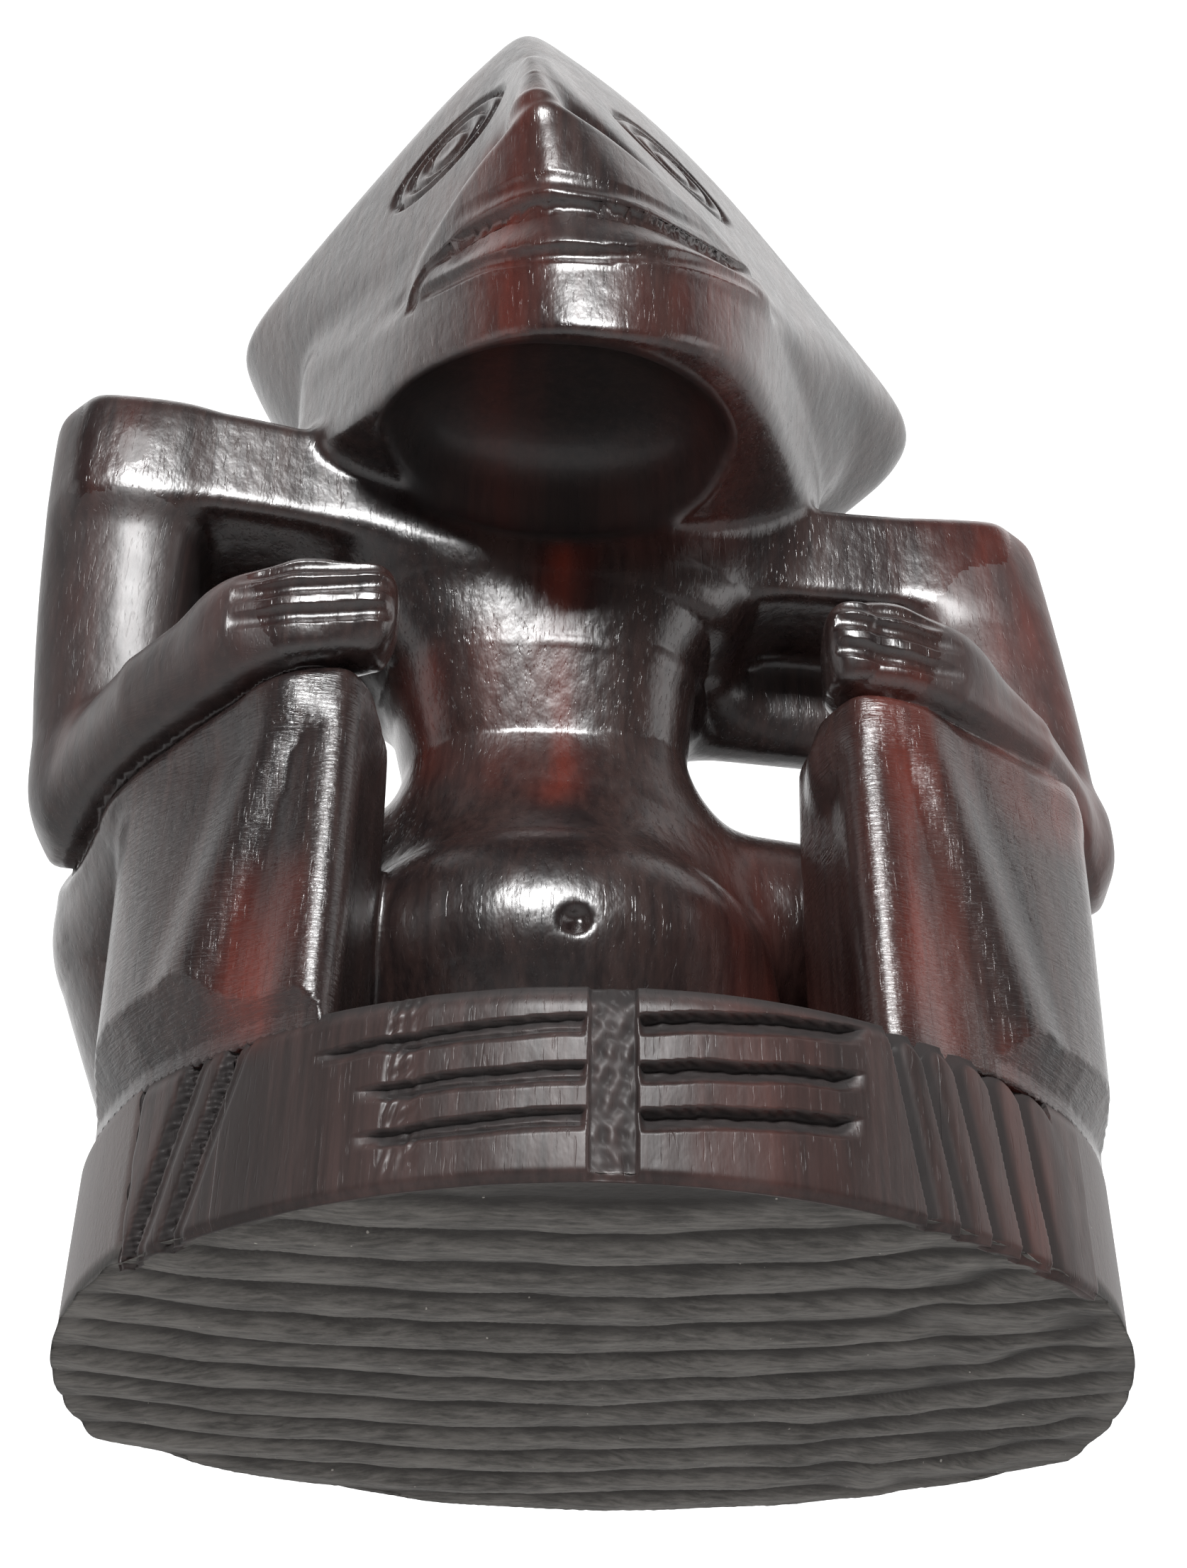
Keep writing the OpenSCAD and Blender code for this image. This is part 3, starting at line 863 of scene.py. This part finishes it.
# %% [markdown]
# ## One piece for each region
# The region's faces are taken out with their own points; the shading directions come from the field.

# %% making the pieces
def make_piece(name, p, faces, normals=None):
    """A mesh object at the origin, in metres."""
    mesh = bpy.data.meshes.new(name)
    mesh.vertices.add(len(p))
    mesh.vertices.foreach_set("co", (p * 0.001).astype(np.float32).ravel())
    n = faces.shape[1]
    mesh.loops.add(faces.size)
    mesh.loops.foreach_set("vertex_index", faces.astype(np.int32).ravel())
    mesh.polygons.add(len(faces))
    mesh.polygons.foreach_set("loop_start", np.arange(0, faces.size, n, dtype=np.int32))
    mesh.polygons.foreach_set("loop_total", np.full(len(faces), n, dtype=np.int32))
    mesh.polygons.foreach_set("use_smooth", np.ones(len(faces), bool))
    mesh.update(calc_edges=True)
    mesh.validate(clean_customdata=False)
    if normals is not None:
        mesh.normals_split_custom_set_from_vertices(normals.astype(np.float32).tolist())
    obj = bpy.data.objects.new(name, mesh)
    bpy.context.scene.collection.objects.link(obj)
    return obj


pieces = {}
for i, name in enumerate(REGION_NAMES):
    mine = tris[labels == i]
    if len(mine) == 0:
        print("no faces for", name)
        continue
    used, inv = np.unique(mine, return_inverse=True)
    pieces[name] = make_piece("carved_" + name, points[used], inv.reshape(-1, 3), shade[used])
    print("  %-16s %6d triangles" % (name, len(mine)))

# %% [markdown]
# ## The plinth
# The plan is as above. The wall is
# a sheet over (way round, height) with a depth function for every cut. The underside is a disc of
# rings whose height is the gouge pattern.

# %% outline
def outline(theta):
    """Where rays from the plinth's middle meet the plan, found by halving."""
    c, s = np.sin(theta), -np.cos(theta)
    near, far = np.zeros_like(theta), np.full_like(theta, 90.0)
    for _ in range(40):
        mid = (near + far) / 2
        out = outside_plan(mid * c, mid * s) > 0
        far, near = np.where(out, mid, far), np.where(out, near, mid)
    return np.stack([near * c, near * s], 1)


def outward(xy):
    e = 0.05
    g = np.stack([
        outside_plan(xy[:, 0] + e, xy[:, 1]) - outside_plan(xy[:, 0] - e, xy[:, 1]),
        outside_plan(xy[:, 0], xy[:, 1] + e) - outside_plan(xy[:, 0], xy[:, 1] - e),
    ], 1)
    return g / np.maximum(np.linalg.norm(g, axis=1, keepdims=True), 1e-9)


# %% depth of the cuts in the wall, and height of the underside
STRIP = (-3.1, 0.9)


def chisel_cut(x, z, x0, x1, z0, rise, depth, high=2.1):
    """A level cut: a sharp upper edge, then a floor that climbs back to the surface below it."""
    zz = z - (z0 + rise * (x - x0)) - 0.10 * ripple(x, z, 7, 3)
    edge = smoothstep(0.18, -0.10, zz)
    floor = np.clip(1 + zz / high, 0, 1) ** 0.8
    ends = smoothstep(x0 - 0.1, x0 + 0.7, x) * smoothstep(x1 + 0.4, x1 - 2.6, x)
    return depth * edge * floor * ends * (1 + 0.12 * ripple(x, z * 3, 2.2, 5))


def wall_depth(x, z):
    """How far the front wall is cut in at (x, z)."""
    top = BASE_H
    d = 0.55 * smoothstep(top - 3.0, top, z) ** 2 + 0.5 * smoothstep(1.6, 0.0, z) ** 2
    k = BASE_H / 19.0
    for z0, z1, reach in ((16.0, 15.9, 20.3), (11.2, 11.2, 19.6), (6.7, 6.9, 19.0)):
        d = d + chisel_cut(x, z, STRIP[1] + 0.1, reach + 1.5, z0 * k, 0.10, 1.25)
        left = chisel_cut(-x, z, -STRIP[0] + 0.1, 27.0 if z0 > 14 else 23.0, z1 * k, -0.05, 0.75, 1.6)
        left = left + chisel_cut(-x, z, -STRIP[0] + 0.1, 21.0, (z1 - 1.3) * k, -0.03, 0.35, 0.9)
        d = d + left
    inside = smoothstep(STRIP[0] - 0.25, STRIP[0] + 0.15, x) * smoothstep(STRIP[1] + 0.25, STRIP[1] - 0.15, x)
    rough = 0.42 + 0.10 * ripple(x * 2, z, 3.0, 11) + 0.05 * ripple(x, z, 1.2, 12)
    d = d + inside * rough * smoothstep(-0.2, 1.5, z)
    # a shallow second strip, begun and left, on the left half
    x2 = x + 19.0
    d = d + 0.16 * np.exp(-((x2 / 1.5) ** 6)) * (1 + ripple(x * 2, z, 2.0, 14)) * smoothstep(1, 4, z)
    # left corner: two slanting cuts
    for x_top, x_low, dep in ((-34.4, -39.4, 1.0), (-38.2, -43.0, 1.1)):
        line = x_top + (x_low - x_top) * (1 - z / top)
        u = x - line
        d = d + dep * np.exp(-((u / 0.62) ** 2)) * (1 + 0.35 * ripple(x * 2, z * 2, 1.5, 15)) + 0.3 * np.exp(-(((u - 1.3) / 0.35) ** 2))
    # right corner: five overlapping bands, each rounded and stepping down to the next
    edges_top = np.array([23.6, 26.4, 29.6, 33.2, 36.6, 40.4])
    edges_low = np.array([26.2, 29.4, 32.5, 35.5, 38.8, 42.6])
    for a, b, c0, c1 in zip(edges_top[:-1], edges_low[:-1], edges_top[1:], edges_low[1:]):
        left = a + (b - a) * (1 - z / top)
        right = c0 + (c1 - c0) * (1 - z / top)
        t = (x - left) / (right - left)
        on = (t > 0) & (t <= 1)
        step = 1.15 * (1 - np.clip(t, 0, 1)) ** 2.2 * smoothstep(-0.02, 0.10, t)
        arch = 0.9 * np.clip((z - (top - 1.2 - 2.0 * (2 * np.clip(t, 0, 1) - 1) ** 2)) / 1.5, 0, 1)
        d = d + np.where(on, step + arch * 0.5, 0)
    crack = x + 43.9 + 0.25 * ripple(z, z * 0, 6, 21)
    d = d + 1.3 * np.exp(-((crack / 0.22) ** 2)) * smoothstep(-1, 3, z)
    return np.clip(d, 0, 2.2)


def underside(x, y):
    """Height of the raw underside. Gouge runs go left and right, bow towards the front at their
    ends, and break into short scallops at the right."""
    bow = -0.0034 * (x + 11) ** 2 + 0.55 * ripple(x, y * 0.4, 26, 31) + 0.3 * ripple(x, y, 9, 32)
    broken = smoothstep(8, 34, x)
    bow = bow + broken * 1.5 * ripple(x, y * 1.6, 15, 33)
    t = (y - bow + HALF_D) / (BASE_D / 12.5)
    f = t - np.floor(t)
    run = np.floor(t)
    # a steep front side, a rounded crest, and a long hollow behind it
    shape = np.where(f < 0.30, np.sin(np.pi / 2 * f / 0.30), np.cos(np.pi / 2 * (f - 0.30) / 0.70) ** 0.8)
    high = 1.45 * (1 + 0.22 * ripple(x, run * 37.0, 30, 34)) * (1 - 0.55 * broken * (0.5 + 0.5 * ripple(x * 1.3, y, 11, 35)))
    flat_front = smoothstep(-38, -29, y + 0.006 * x**2)
    rim = smoothstep(-0.5, -4.5, outside_plan(x, y))
    shape = shape * high * (0.15 + 0.85 * flat_front) * (0.35 + 0.65 * rim) + 0.55 * (1 - rim)
    fuzz = 0.035 * ripple(x + y * 0.5, y * 2.2, 1.1, 36) + 0.03 * ripple(x * 0.6 + y, y * 3, 0.7, 37)
    return 1.6 - np.clip(shape, 0, 1.6) + fuzz


# %% front band and toes: one sheet, cut into three pieces that share their edges
nx, nz = ((900, 112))
theta_left = math.atan2(-CORNER_X - 0.3, -CORNER_Y)
theta_right = math.atan2(CORNER_X + 0.3, -CORNER_Y)
theta = np.linspace(theta_left, theta_right, nx)
edge = outline(theta)
normal = outward(edge)
zs = BASE_H * np.linspace(0, 1, nz) ** 1.0
gx, gz = np.meshgrid(edge[:, 0], zs, indexing="ij")
depth = wall_depth(gx, gz) + 0.06 * ripple(gx, gz, 11, 41)
lift = 0.22 * np.exp(-zs / 0.8)
sheet = np.stack([
    edge[:, 0, None] - normal[:, 0, None] * depth,
    edge[:, 1, None] - normal[:, 1, None] * depth,
    np.broadcast_to(zs + lift, gx.shape),
], -1)
back_in = 3.4
low_row = np.stack([edge[:, 0] - normal[:, 0] * back_in, edge[:, 1] - normal[:, 1] * back_in, np.full(nx, 1.6)], 1)[:, None]
high_row = np.stack([edge[:, 0] - normal[:, 0] * back_in, edge[:, 1] - normal[:, 1] * back_in, np.full(nx, BASE_H)], 1)[:, None]
sheet = np.concatenate([low_row, sheet, high_row], 1)
rows = sheet.shape[1]
grid_id = np.arange(nx * rows).reshape(nx, rows)


def strip_piece(name, i0, i1):
    """The closed strip between two stations: the sheet and its back, with a fan of faces over each end."""
    a, b = grid_id[i0:i1], grid_id[i0 + 1:i1 + 1]
    nxt = np.roll(np.arange(rows), -1)
    quad = np.stack([a, b, b[:, nxt], a[:, nxt]], -1).reshape(-1, 4)
    j = np.arange(1, rows - 1)
    fans = [np.stack([np.full(len(j), ring[0]), ring[j], ring[j + 1]], 1) for ring in (grid_id[i0], grid_id[i1])]
    faces = np.concatenate([quad[:, [0, 1, 2]], quad[:, [0, 2, 3]], *fans])
    used, inv = np.unique(faces, return_inverse=True)
    return make_piece(name, sheet.reshape(-1, 3)[used], inv.reshape(-1, 3))


cut_left = int(np.argmin(np.abs(edge[:, 0] - BAND_LO[0])))
cut_right = int(np.argmin(np.abs(edge[:, 0] - BAND_HI[0])))
pieces["left_toes"] = strip_piece("carved_left_toes", 0, cut_left)
pieces["front_band"] = strip_piece("carved_front_band", cut_left, cut_right)
pieces["right_toes"] = strip_piece("carved_right_toes", cut_right, nx - 1)
print("wall sheet", nx, "x", rows)

# %% the slab: underside, sides and top as one closed form
cols, rings = ((680, 112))
theta = np.linspace(-np.pi, np.pi, cols, endpoint=False)
edge = outline(theta)
normal = outward(edge)
behind = smoothstep(theta_left - 0.01, theta_left + 0.03, theta) * smoothstep(theta_right + 0.01, theta_right - 0.03, theta)
rim_wave = 0.25 * ripple(edge[:, 0], edge[:, 1], 16, 51)
# the underside, from the middle out
rho = np.linspace(0, 1, rings + 1)[1:] ** 0.85
flat = edge[None] * rho[:, None, None]
ux, uy = flat[..., 0], flat[..., 1]
under = np.stack([ux, uy, underside(ux, uy)], -1)
shrink = (0.35 * behind)[:, None] * normal
under[-1, :, :2] -= shrink
# the sides: a short raw bevel, then the rubbed wall, then the top
side_rows = []
side_z = np.concatenate([[0.9, 1.6, 2.4], np.linspace(3.2, BASE_H - 0.8, 18), [BASE_H - 0.3, BASE_H]])
start_z = under[-1, :, 2]
for z in side_z:
    d = 0.35 * np.exp(-((z - 0.2) / 1.2)) + 0.35 * (z > BASE_H - 0.4) + rim_wave * 0.3 + 0.3
    d = d + behind * 1.9
    zz = np.maximum(z, start_z + 0.1 * (z + 0.2))
    side_rows.append(np.stack([edge[:, 0] - normal[:, 0] * d, edge[:, 1] - normal[:, 1] * d, np.minimum(zz, BASE_H)], 1))
top_rows = []
for r in (0.96, 0.9, 0.7, 0.4, 0.15):
    top_rows.append(np.stack([edge[:, 0] * r, edge[:, 1] * r, np.full(cols, BASE_H)], 1))
grid = np.concatenate([under, np.array(side_rows), np.array(top_rows)])
layers = len(grid)
verts = np.concatenate([grid.reshape(-1, 3), [[0, 0, underside(np.array(0.0), np.array(0.0))], [0, 0, BASE_H]]])
ids = np.arange(layers * cols).reshape(layers, cols)
nxt = np.roll(np.arange(cols), -1)
quad = np.stack([ids[:-1], ids[1:], ids[1:][:, nxt], ids[:-1][:, nxt]], -1).reshape(-1, 4)
t3 = np.concatenate([quad[:, [0, 1, 2]], quad[:, [0, 2, 3]]])
middle = len(verts) - 2
t3 = np.concatenate([
    t3,
    np.stack([np.full(cols, middle), ids[0], ids[0][nxt]], 1),
    np.stack([np.full(cols, middle + 1), ids[-1][nxt], ids[-1]], 1),
])
pieces["base_slab"] = make_piece("carved_base_slab", verts, t3)
print("slab triangles", len(t3))


def face_outward(obj):
    bm = bmesh.new()
    bm.from_mesh(obj.data)
    bmesh.ops.recalc_face_normals(bm, faces=bm.faces)
    bm.to_mesh(obj.data)
    bm.free()


for name in PLINTH_NAMES:
    face_outward(pieces[name])

# %% [markdown]
# ## The wood
# One dark, oily heartwood. Its colour is worked out from where a point is in the block: fine
# streaks run up and down with the grain, and a few red heart streaks run the height of the
# figure. The knife left short cross marks on the shins; the polish follows them.

# %% where the wood is red, where the knife chattered, where shade is painted
def bump_at(v, middle, width):
    return np.exp(-(((v - middle) / width) ** 2))


def paint(obj, name, values):
    a = obj.data.attributes.new(name, "FLOAT", "POINT")
    a.data.foreach_set("value", np.clip(values, 0, 1).astype(np.float32))


def points_of(obj):
    co = np.empty(len(obj.data.vertices) * 3, np.float32)
    obj.data.vertices.foreach_get("co", co)
    return co.reshape(-1, 3).astype(float) * 1000.0


def heart_amount(p):
    """Red heart streaks: each a band in x that wanders slowly as it climbs."""
    x, y, z = p.T
    wander = 1.6 * ripple(z, y * 0, 60, 61) + 0.7 * ripple(z, y * 0, 21, 62)
    amount = np.zeros(len(p))
    for x0, width, z0, z1, strength in (
        (-5.0, 2.6, 60, 96, 0.75), (-12.0, 3.0, 62, 86, 0.35), (-33.0, 3.4, 19, 36, 0.85), (29.5, 3.6, 19, 64, 0.75),
        (50.0, 11.0, 50, 130, 0.55), (-14.0, 4.5, 100, 140, 0.50), (12.0, 5.0, 100, 122, 0.40),
        (16.0, 6.0, 20, 60, 0.30), (-20.0, 3.0, 66, 82, 0.35), (-58.0, 3.0, 60, 120, 0.16), (38.0, 2.2, 0, 22, 0.5),
        (12.0, 7.0, 0, 19, 0.28), (-40.0, 5, 60, 76, 0.2), (2.0, 6.0, 96, 112, 0.2),
    ):
        amount += strength * bump_at(x + wander * 0.8, x0, width) * smoothstep(z0 - 4, z0 + 3, z) * smoothstep(z1 + 4, z1 - 3, z)
    return amount * (0.75 + 0.45 * ripple(x * 2.2, z * 0.35, 9, 63))


def chatter_amount(p):
    """Cross marks of the knife on the fronts of the shins, fading at their edges."""
    out = np.zeros(len(p))
    for name in ("left_shin", "right_shin"):
        lo, hi = node_box(name)
        inside = smoothstep(lo[0] - 2, lo[0] + 1, p[:, 0]) * smoothstep(hi[0] + 2, hi[0] - 3, p[:, 0])
        front = smoothstep(lo[1] + 0.62 * (hi[1] - lo[1]), lo[1] + 0.30 * (hi[1] - lo[1]), p[:, 1])
        out = np.maximum(out, inside * front * smoothstep(hi[2] + 2, hi[2] - 6, p[:, 2]))
    return out


def mix_rgb(nt, a, b, fac):
    m = nt.nodes.new("ShaderNodeMix")
    m.data_type = "RGBA"
    for value, socket in ((a, m.inputs[6]), (b, m.inputs[7]), (fac, m.inputs[0])):
        if isinstance(value, bpy.types.NodeSocket):
            nt.links.new(value, socket)
        else:
            socket.default_value = value if isinstance(value, float) else (*value, 1.0)
    return m.outputs[2]


def math_node(nt, op, a, b=0.0, clamp=False):
    m = nt.nodes.new("ShaderNodeMath")
    m.operation, m.use_clamp = op, clamp
    for value, socket in ((a, m.inputs[0]), (b, m.inputs[1])):
        if isinstance(value, bpy.types.NodeSocket):
            nt.links.new(value, socket)
        else:
            socket.default_value = value
    return m.outputs[0]


def grain(nt, scale, detail=4.0, rough=0.55, warp=0.0, turn=(0, 0, 0)):
    """Noise in the block's own millimetres, stretched by a scale for each axis."""
    coord = nt.nodes.new("ShaderNodeTexCoord")
    m = nt.nodes.new("ShaderNodeMapping")
    m.inputs["Scale"].default_value = [s * 1000.0 for s in scale]
    m.inputs["Rotation"].default_value = turn
    n = nt.nodes.new("ShaderNodeTexNoise")
    n.inputs["Scale"].default_value = 1.0
    n.inputs["Detail"].default_value = detail
    n.inputs["Roughness"].default_value = rough
    n.inputs["Distortion"].default_value = warp
    nt.links.new(coord.outputs["Object"], m.inputs["Vector"])
    nt.links.new(m.outputs[0], n.inputs["Vector"])
    return n.outputs["Fac"]


def ramp(nt, value, low, high):
    r = nt.nodes.new("ShaderNodeMapRange")
    r.interpolation_type = "SMOOTHSTEP"
    nt.links.new(value, r.inputs["Value"])
    r.inputs["From Min"].default_value, r.inputs["From Max"].default_value = low, high
    return r.outputs["Result"]


def attribute(nt, name):
    a = nt.nodes.new("ShaderNodeAttribute")
    a.attribute_name = name
    return a.outputs["Fac"]


def bump(nt, height, distance, strength, normal=None):
    b = nt.nodes.new("ShaderNodeBump")
    b.inputs["Distance"].default_value = distance * 0.001
    if isinstance(strength, bpy.types.NodeSocket):
        nt.links.new(strength, b.inputs["Strength"])
    else:
        b.inputs["Strength"].default_value = strength
    nt.links.new(height, b.inputs["Height"])
    if normal is not None:
        nt.links.new(normal, b.inputs["Normal"])
    return b.outputs["Normal"]


def new_material(name):
    mat = bpy.data.materials.new(name)
    mat.use_nodes = True
    nt = mat.node_tree
    return mat, nt, nt.nodes["Principled BSDF"]


def polished(name, dark, mid, red, rough, coat, gloss_wave=0.10, painted_shade_darkness=0.35, shine=0.5):
    mat, nt, bsdf = new_material(name)
    fine = grain(nt, (1.1, 1.1, 0.045), 5.0, 0.6)
    broad = grain(nt, (0.12, 0.12, 0.008), 3.0, 0.5, 0.3)
    streak = ramp(nt, math_node(nt, "ADD", math_node(nt, "MULTIPLY", fine, 0.5), math_node(nt, "MULTIPLY", broad, 0.6)), 0.40, 0.74)
    colour = mix_rgb(nt, dark, mid, streak)
    heart = math_node(nt, "MULTIPLY", attribute(nt, "heart"), math_node(nt, "ADD", math_node(nt, "MULTIPLY", fine, 1.0), 0.45), True)
    colour = mix_rgb(nt, colour, red, heart)
    # painted shade: this attribute darkens the colour where shade falls; further down it also makes the finish rougher
    painted_shade = attribute(nt, "painted_shade")
    colour = mix_rgb(nt, colour, (0.010, 0.008, 0.008), math_node(nt, "MULTIPLY", painted_shade, painted_shade_darkness))
    nt.links.new(colour, bsdf.inputs["Base Color"])
    pores = ramp(nt, grain(nt, (3.2, 3.2, 0.30), 2.0, 0.5), 0.60, 0.72)
    soft = grain(nt, (0.55, 0.55, 0.30), 3.0, 0.5)
    ticks = grain(nt, (0.50, 0.50, 3.2), 3.0, 0.6, 0.6, (0.0, 0.45, 0.0))
    n = bump(nt, soft, gloss_wave, 0.5)
    n = bump(nt, fine, 0.05, 0.35, n)
    n = bump(nt, ticks, 0.22, math_node(nt, "MULTIPLY", attribute(nt, "chatter"), 0.7), n)
    n = bump(nt, math_node(nt, "SUBTRACT", 1.0, pores), 0.05, 0.4, n)
    nt.links.new(n, bsdf.inputs["Normal"])
    r = math_node(nt, "ADD", math_node(nt, "MULTIPLY", soft, 0.14), rough - 0.07)
    r = math_node(nt, "ADD", r, math_node(nt, "MULTIPLY", painted_shade, 0.35), True)
    nt.links.new(r, bsdf.inputs["Roughness"])
    bsdf.inputs["Coat Weight"].default_value = coat
    bsdf.inputs["Coat Roughness"].default_value = 0.22
    bsdf.inputs["IOR"].default_value = 1.5
    bsdf.inputs["Specular IOR Level"].default_value = shine
    return mat


figure_wood = polished("polished_heartwood", (0.0085, 0.0055, 0.0056), (0.030, 0.017, 0.015), (0.105, 0.016, 0.009), 0.27, 0.14, 0.26)
band_wood = polished("band_heartwood", (0.013, 0.0085, 0.008), (0.042, 0.024, 0.022), (0.085, 0.020, 0.013), 0.42, 0.02, 0.16, 0.85, 0.30)


def raw_wood():
    """Sawn and gouged wood, never oiled: grey, dusty, with torn fibres across the gouge runs."""
    mat, nt, bsdf = new_material("raw_underside")
    fibre = grain(nt, (0.35, 2.2, 1.0), 5.0, 0.65, 0.2, (0, 0, 0.5))
    dust = grain(nt, (0.10, 0.14, 0.1), 4.0, 0.6)
    colour = mix_rgb(nt, (0.034, 0.031, 0.028), (0.120, 0.111, 0.102), ramp(nt, math_node(nt, "ADD", math_node(nt, "MULTIPLY", fibre, 0.6), math_node(nt, "MULTIPLY", dust, 0.4)), 0.34, 0.66))
    # painted shade: the gouge valleys are darkened
    colour = mix_rgb(nt, colour, (0.012, 0.010, 0.009), math_node(nt, "MULTIPLY", attribute(nt, "painted_shade"), 0.88))
    wall = attribute(nt, "wall")
    streak = grain(nt, (0.9, 0.9, 0.06), 5.0, 0.6)
    rubbed = mix_rgb(nt, (0.022, 0.015, 0.014), (0.062, 0.044, 0.041), streak)
    colour = mix_rgb(nt, colour, rubbed, wall)
    lint = ramp(nt, grain(nt, (1.6, 1.6, 1.6), 1.0, 0.4), 0.80, 0.84)
    colour = mix_rgb(nt, colour, (0.45, 0.42, 0.38), math_node(nt, "MULTIPLY", lint, 0.5))
    nt.links.new(colour, bsdf.inputs["Base Color"])
    n = bump(nt, fibre, 0.22, 0.55)
    n = bump(nt, grain(nt, (2.5, 5.0, 2.5), 3.0, 0.6, 0.0, (0, 0, -0.4)), 0.10, 0.4, n)
    nt.links.new(n, bsdf.inputs["Normal"])
    nt.links.new(math_node(nt, "SUBTRACT", 0.86, math_node(nt, "MULTIPLY", wall, 0.40)), bsdf.inputs["Roughness"])
    return mat


underside_wood = raw_wood()
print("materials:", figure_wood.name, band_wood.name, underside_wood.name)

# %% give each piece its paint, its finish, its node and its slot
for name, obj in pieces.items():
    p = points_of(obj)
    paint(obj, "heart", heart_amount(p))
    if name == "base_slab":
        up = smoothstep(2.0, 3.2, p[:, 2])
        paint(obj, "wall", up)
        # painted shade in the gouge valleys of the raw underside
        deep = smoothstep(0.55, 1.45, p[:, 2]) * (1 - up)
        paint(obj, "painted_shade", deep)
        obj.data.materials.append(underside_wood)
    elif name in PLINTH_NAMES:
        paint(obj, "chatter", np.zeros(len(p)))
        cut = wall_depth(p[:, 0], p[:, 2])
        # painted shade inside the chisel cuts of the front wall; the same mask also makes them rougher
        paint(obj, "painted_shade", smoothstep(0.2, 0.6, cut) * (p[:, 2] > 1.2))
        obj.data.materials.append(band_wood)
    else:
        paint(obj, "chatter", chatter_amount(p))
        # painted shade: the arms and shoulders above the hands, the back of the figure and the throat hollow are
        # darkened in colour; the same mask also makes them rougher
        arm_shade = 0.55 if "arm" in name or "shoulder" in name else 0.0
        hollow = smoothstep(1.6, 0.2, np.abs(throat_cut(p))) * smoothstep(92, 98, p[:, 2])
        paint(obj, "painted_shade", arm_shade * smoothstep(50, 60, p[:, 2]) + 0.3 * smoothstep(4, 14, p[:, 1]) + hollow)
        obj.data.materials.append(figure_wood)
    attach(obj, "root")
    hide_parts(name)

# %% [markdown]
# ## Stage, light and camera
# The camera is low in front and looks up at the underside, so the pale floor is kept well below
# it. One broad soft light stands in front and above, two fill from the sides.

# %% stage
def lamp(name, place, aim, size, power, colour=(1, 1, 1)):
    data = bpy.data.lights.new(name, "AREA")
    data.shape, data.size, data.size_y = "RECTANGLE", size[0], size[1]
    data.energy, data.color = power, colour
    obj = bpy.data.objects.new(name, data)
    bpy.context.scene.collection.objects.link(obj)
    obj.location = place
    direction = np.array(aim) - np.array(place)
    from mathutils import Vector
    obj.rotation_euler = Vector(direction).to_track_quat("-Z", "Y").to_euler()
    return obj


world = bpy.data.worlds.new("studio")
world.use_nodes = True
wt = world.node_tree
sky = wt.nodes["Background"]
sky.inputs[0].default_value = (1.0, 1.0, 1.0, 1.0)
way = wt.nodes.new("ShaderNodeTexCoord")
axes = wt.nodes.new("ShaderNodeSeparateXYZ")
fade = wt.nodes.new("ShaderNodeMapRange")
fade.interpolation_type = "SMOOTHSTEP"
fade.inputs["From Min"].default_value, fade.inputs["From Max"].default_value = -0.35, 0.25
fade.inputs["To Min"].default_value, fade.inputs["To Max"].default_value = 0.08, 1.4
wt.links.new(way.outputs["Generated"], axes.inputs[0])
wt.links.new(axes.outputs["Y"], fade.inputs["Value"])
wt.links.new(fade.outputs["Result"], sky.inputs[1])
bpy.context.scene.world = world
bpy.context.scene.view_settings.view_transform = "Standard"

floor_mesh = bpy.data.meshes.new("floor")
floor_mesh.from_pydata([(-3, -3, 0), (3, -3, 0), (3, 3, 0), (-3, 3, 0)], [], [(0, 1, 2, 3)])
floor = bpy.data.objects.new("floor", floor_mesh)
bpy.context.scene.collection.objects.link(floor)
floor.location = (0, 0, -0.45)
pale = bpy.data.materials.new("pale_floor")
pale.use_nodes = True
pale.node_tree.nodes["Principled BSDF"].inputs["Base Color"].default_value = (0.8, 0.8, 0.8, 1)
pale.node_tree.nodes["Principled BSDF"].inputs["Roughness"].default_value = 0.9
floor_mesh.materials.append(pale)

key = lamp("key", (-0.02, -0.62, 0.46), (0, 0, 0.06), (0.24, 0.16), 9.0)
left = lamp("left_fill", (-0.8, -0.35, 0.25), (0, 0, 0.09), (0.4, 0.5), 0.8)
right = lamp("right_fill", (0.8, -0.30, 0.30), (0, 0, 0.09), (0.4, 0.5), 1.5)

# %% camera
data = bpy.data.cameras.new("camera")
camera = bpy.data.objects.new("camera", data)
bpy.context.scene.collection.objects.link(camera)
yaw, pitch, roll = math.radians(3.0), math.radians(37.0), math.radians(0.495)
forward = np.array([math.sin(yaw) * math.cos(pitch), math.cos(yaw) * math.cos(pitch), math.sin(pitch)])
flat_right = np.array([math.cos(yaw), -math.sin(yaw), 0])
flat_up = np.cross(flat_right, forward)
right_axis = flat_right * math.cos(roll) + flat_up * math.sin(roll)
up_axis = -flat_right * math.sin(roll) + flat_up * math.cos(roll)

eye = (-0.01149, -0.2027, -0.0818)
camera.matrix_world = Matrix([
    [right_axis[0], up_axis[0], -forward[0], eye[0]],
    [right_axis[1], up_axis[1], -forward[1], eye[1]],
    [right_axis[2], up_axis[2], -forward[2], eye[2]],
    [0, 0, 0, 1],
])
data.sensor_fit, data.sensor_width = "HORIZONTAL", 36.0
data.lens = 66.58
data.clip_start = 0.01
bpy.context.scene.camera = camera
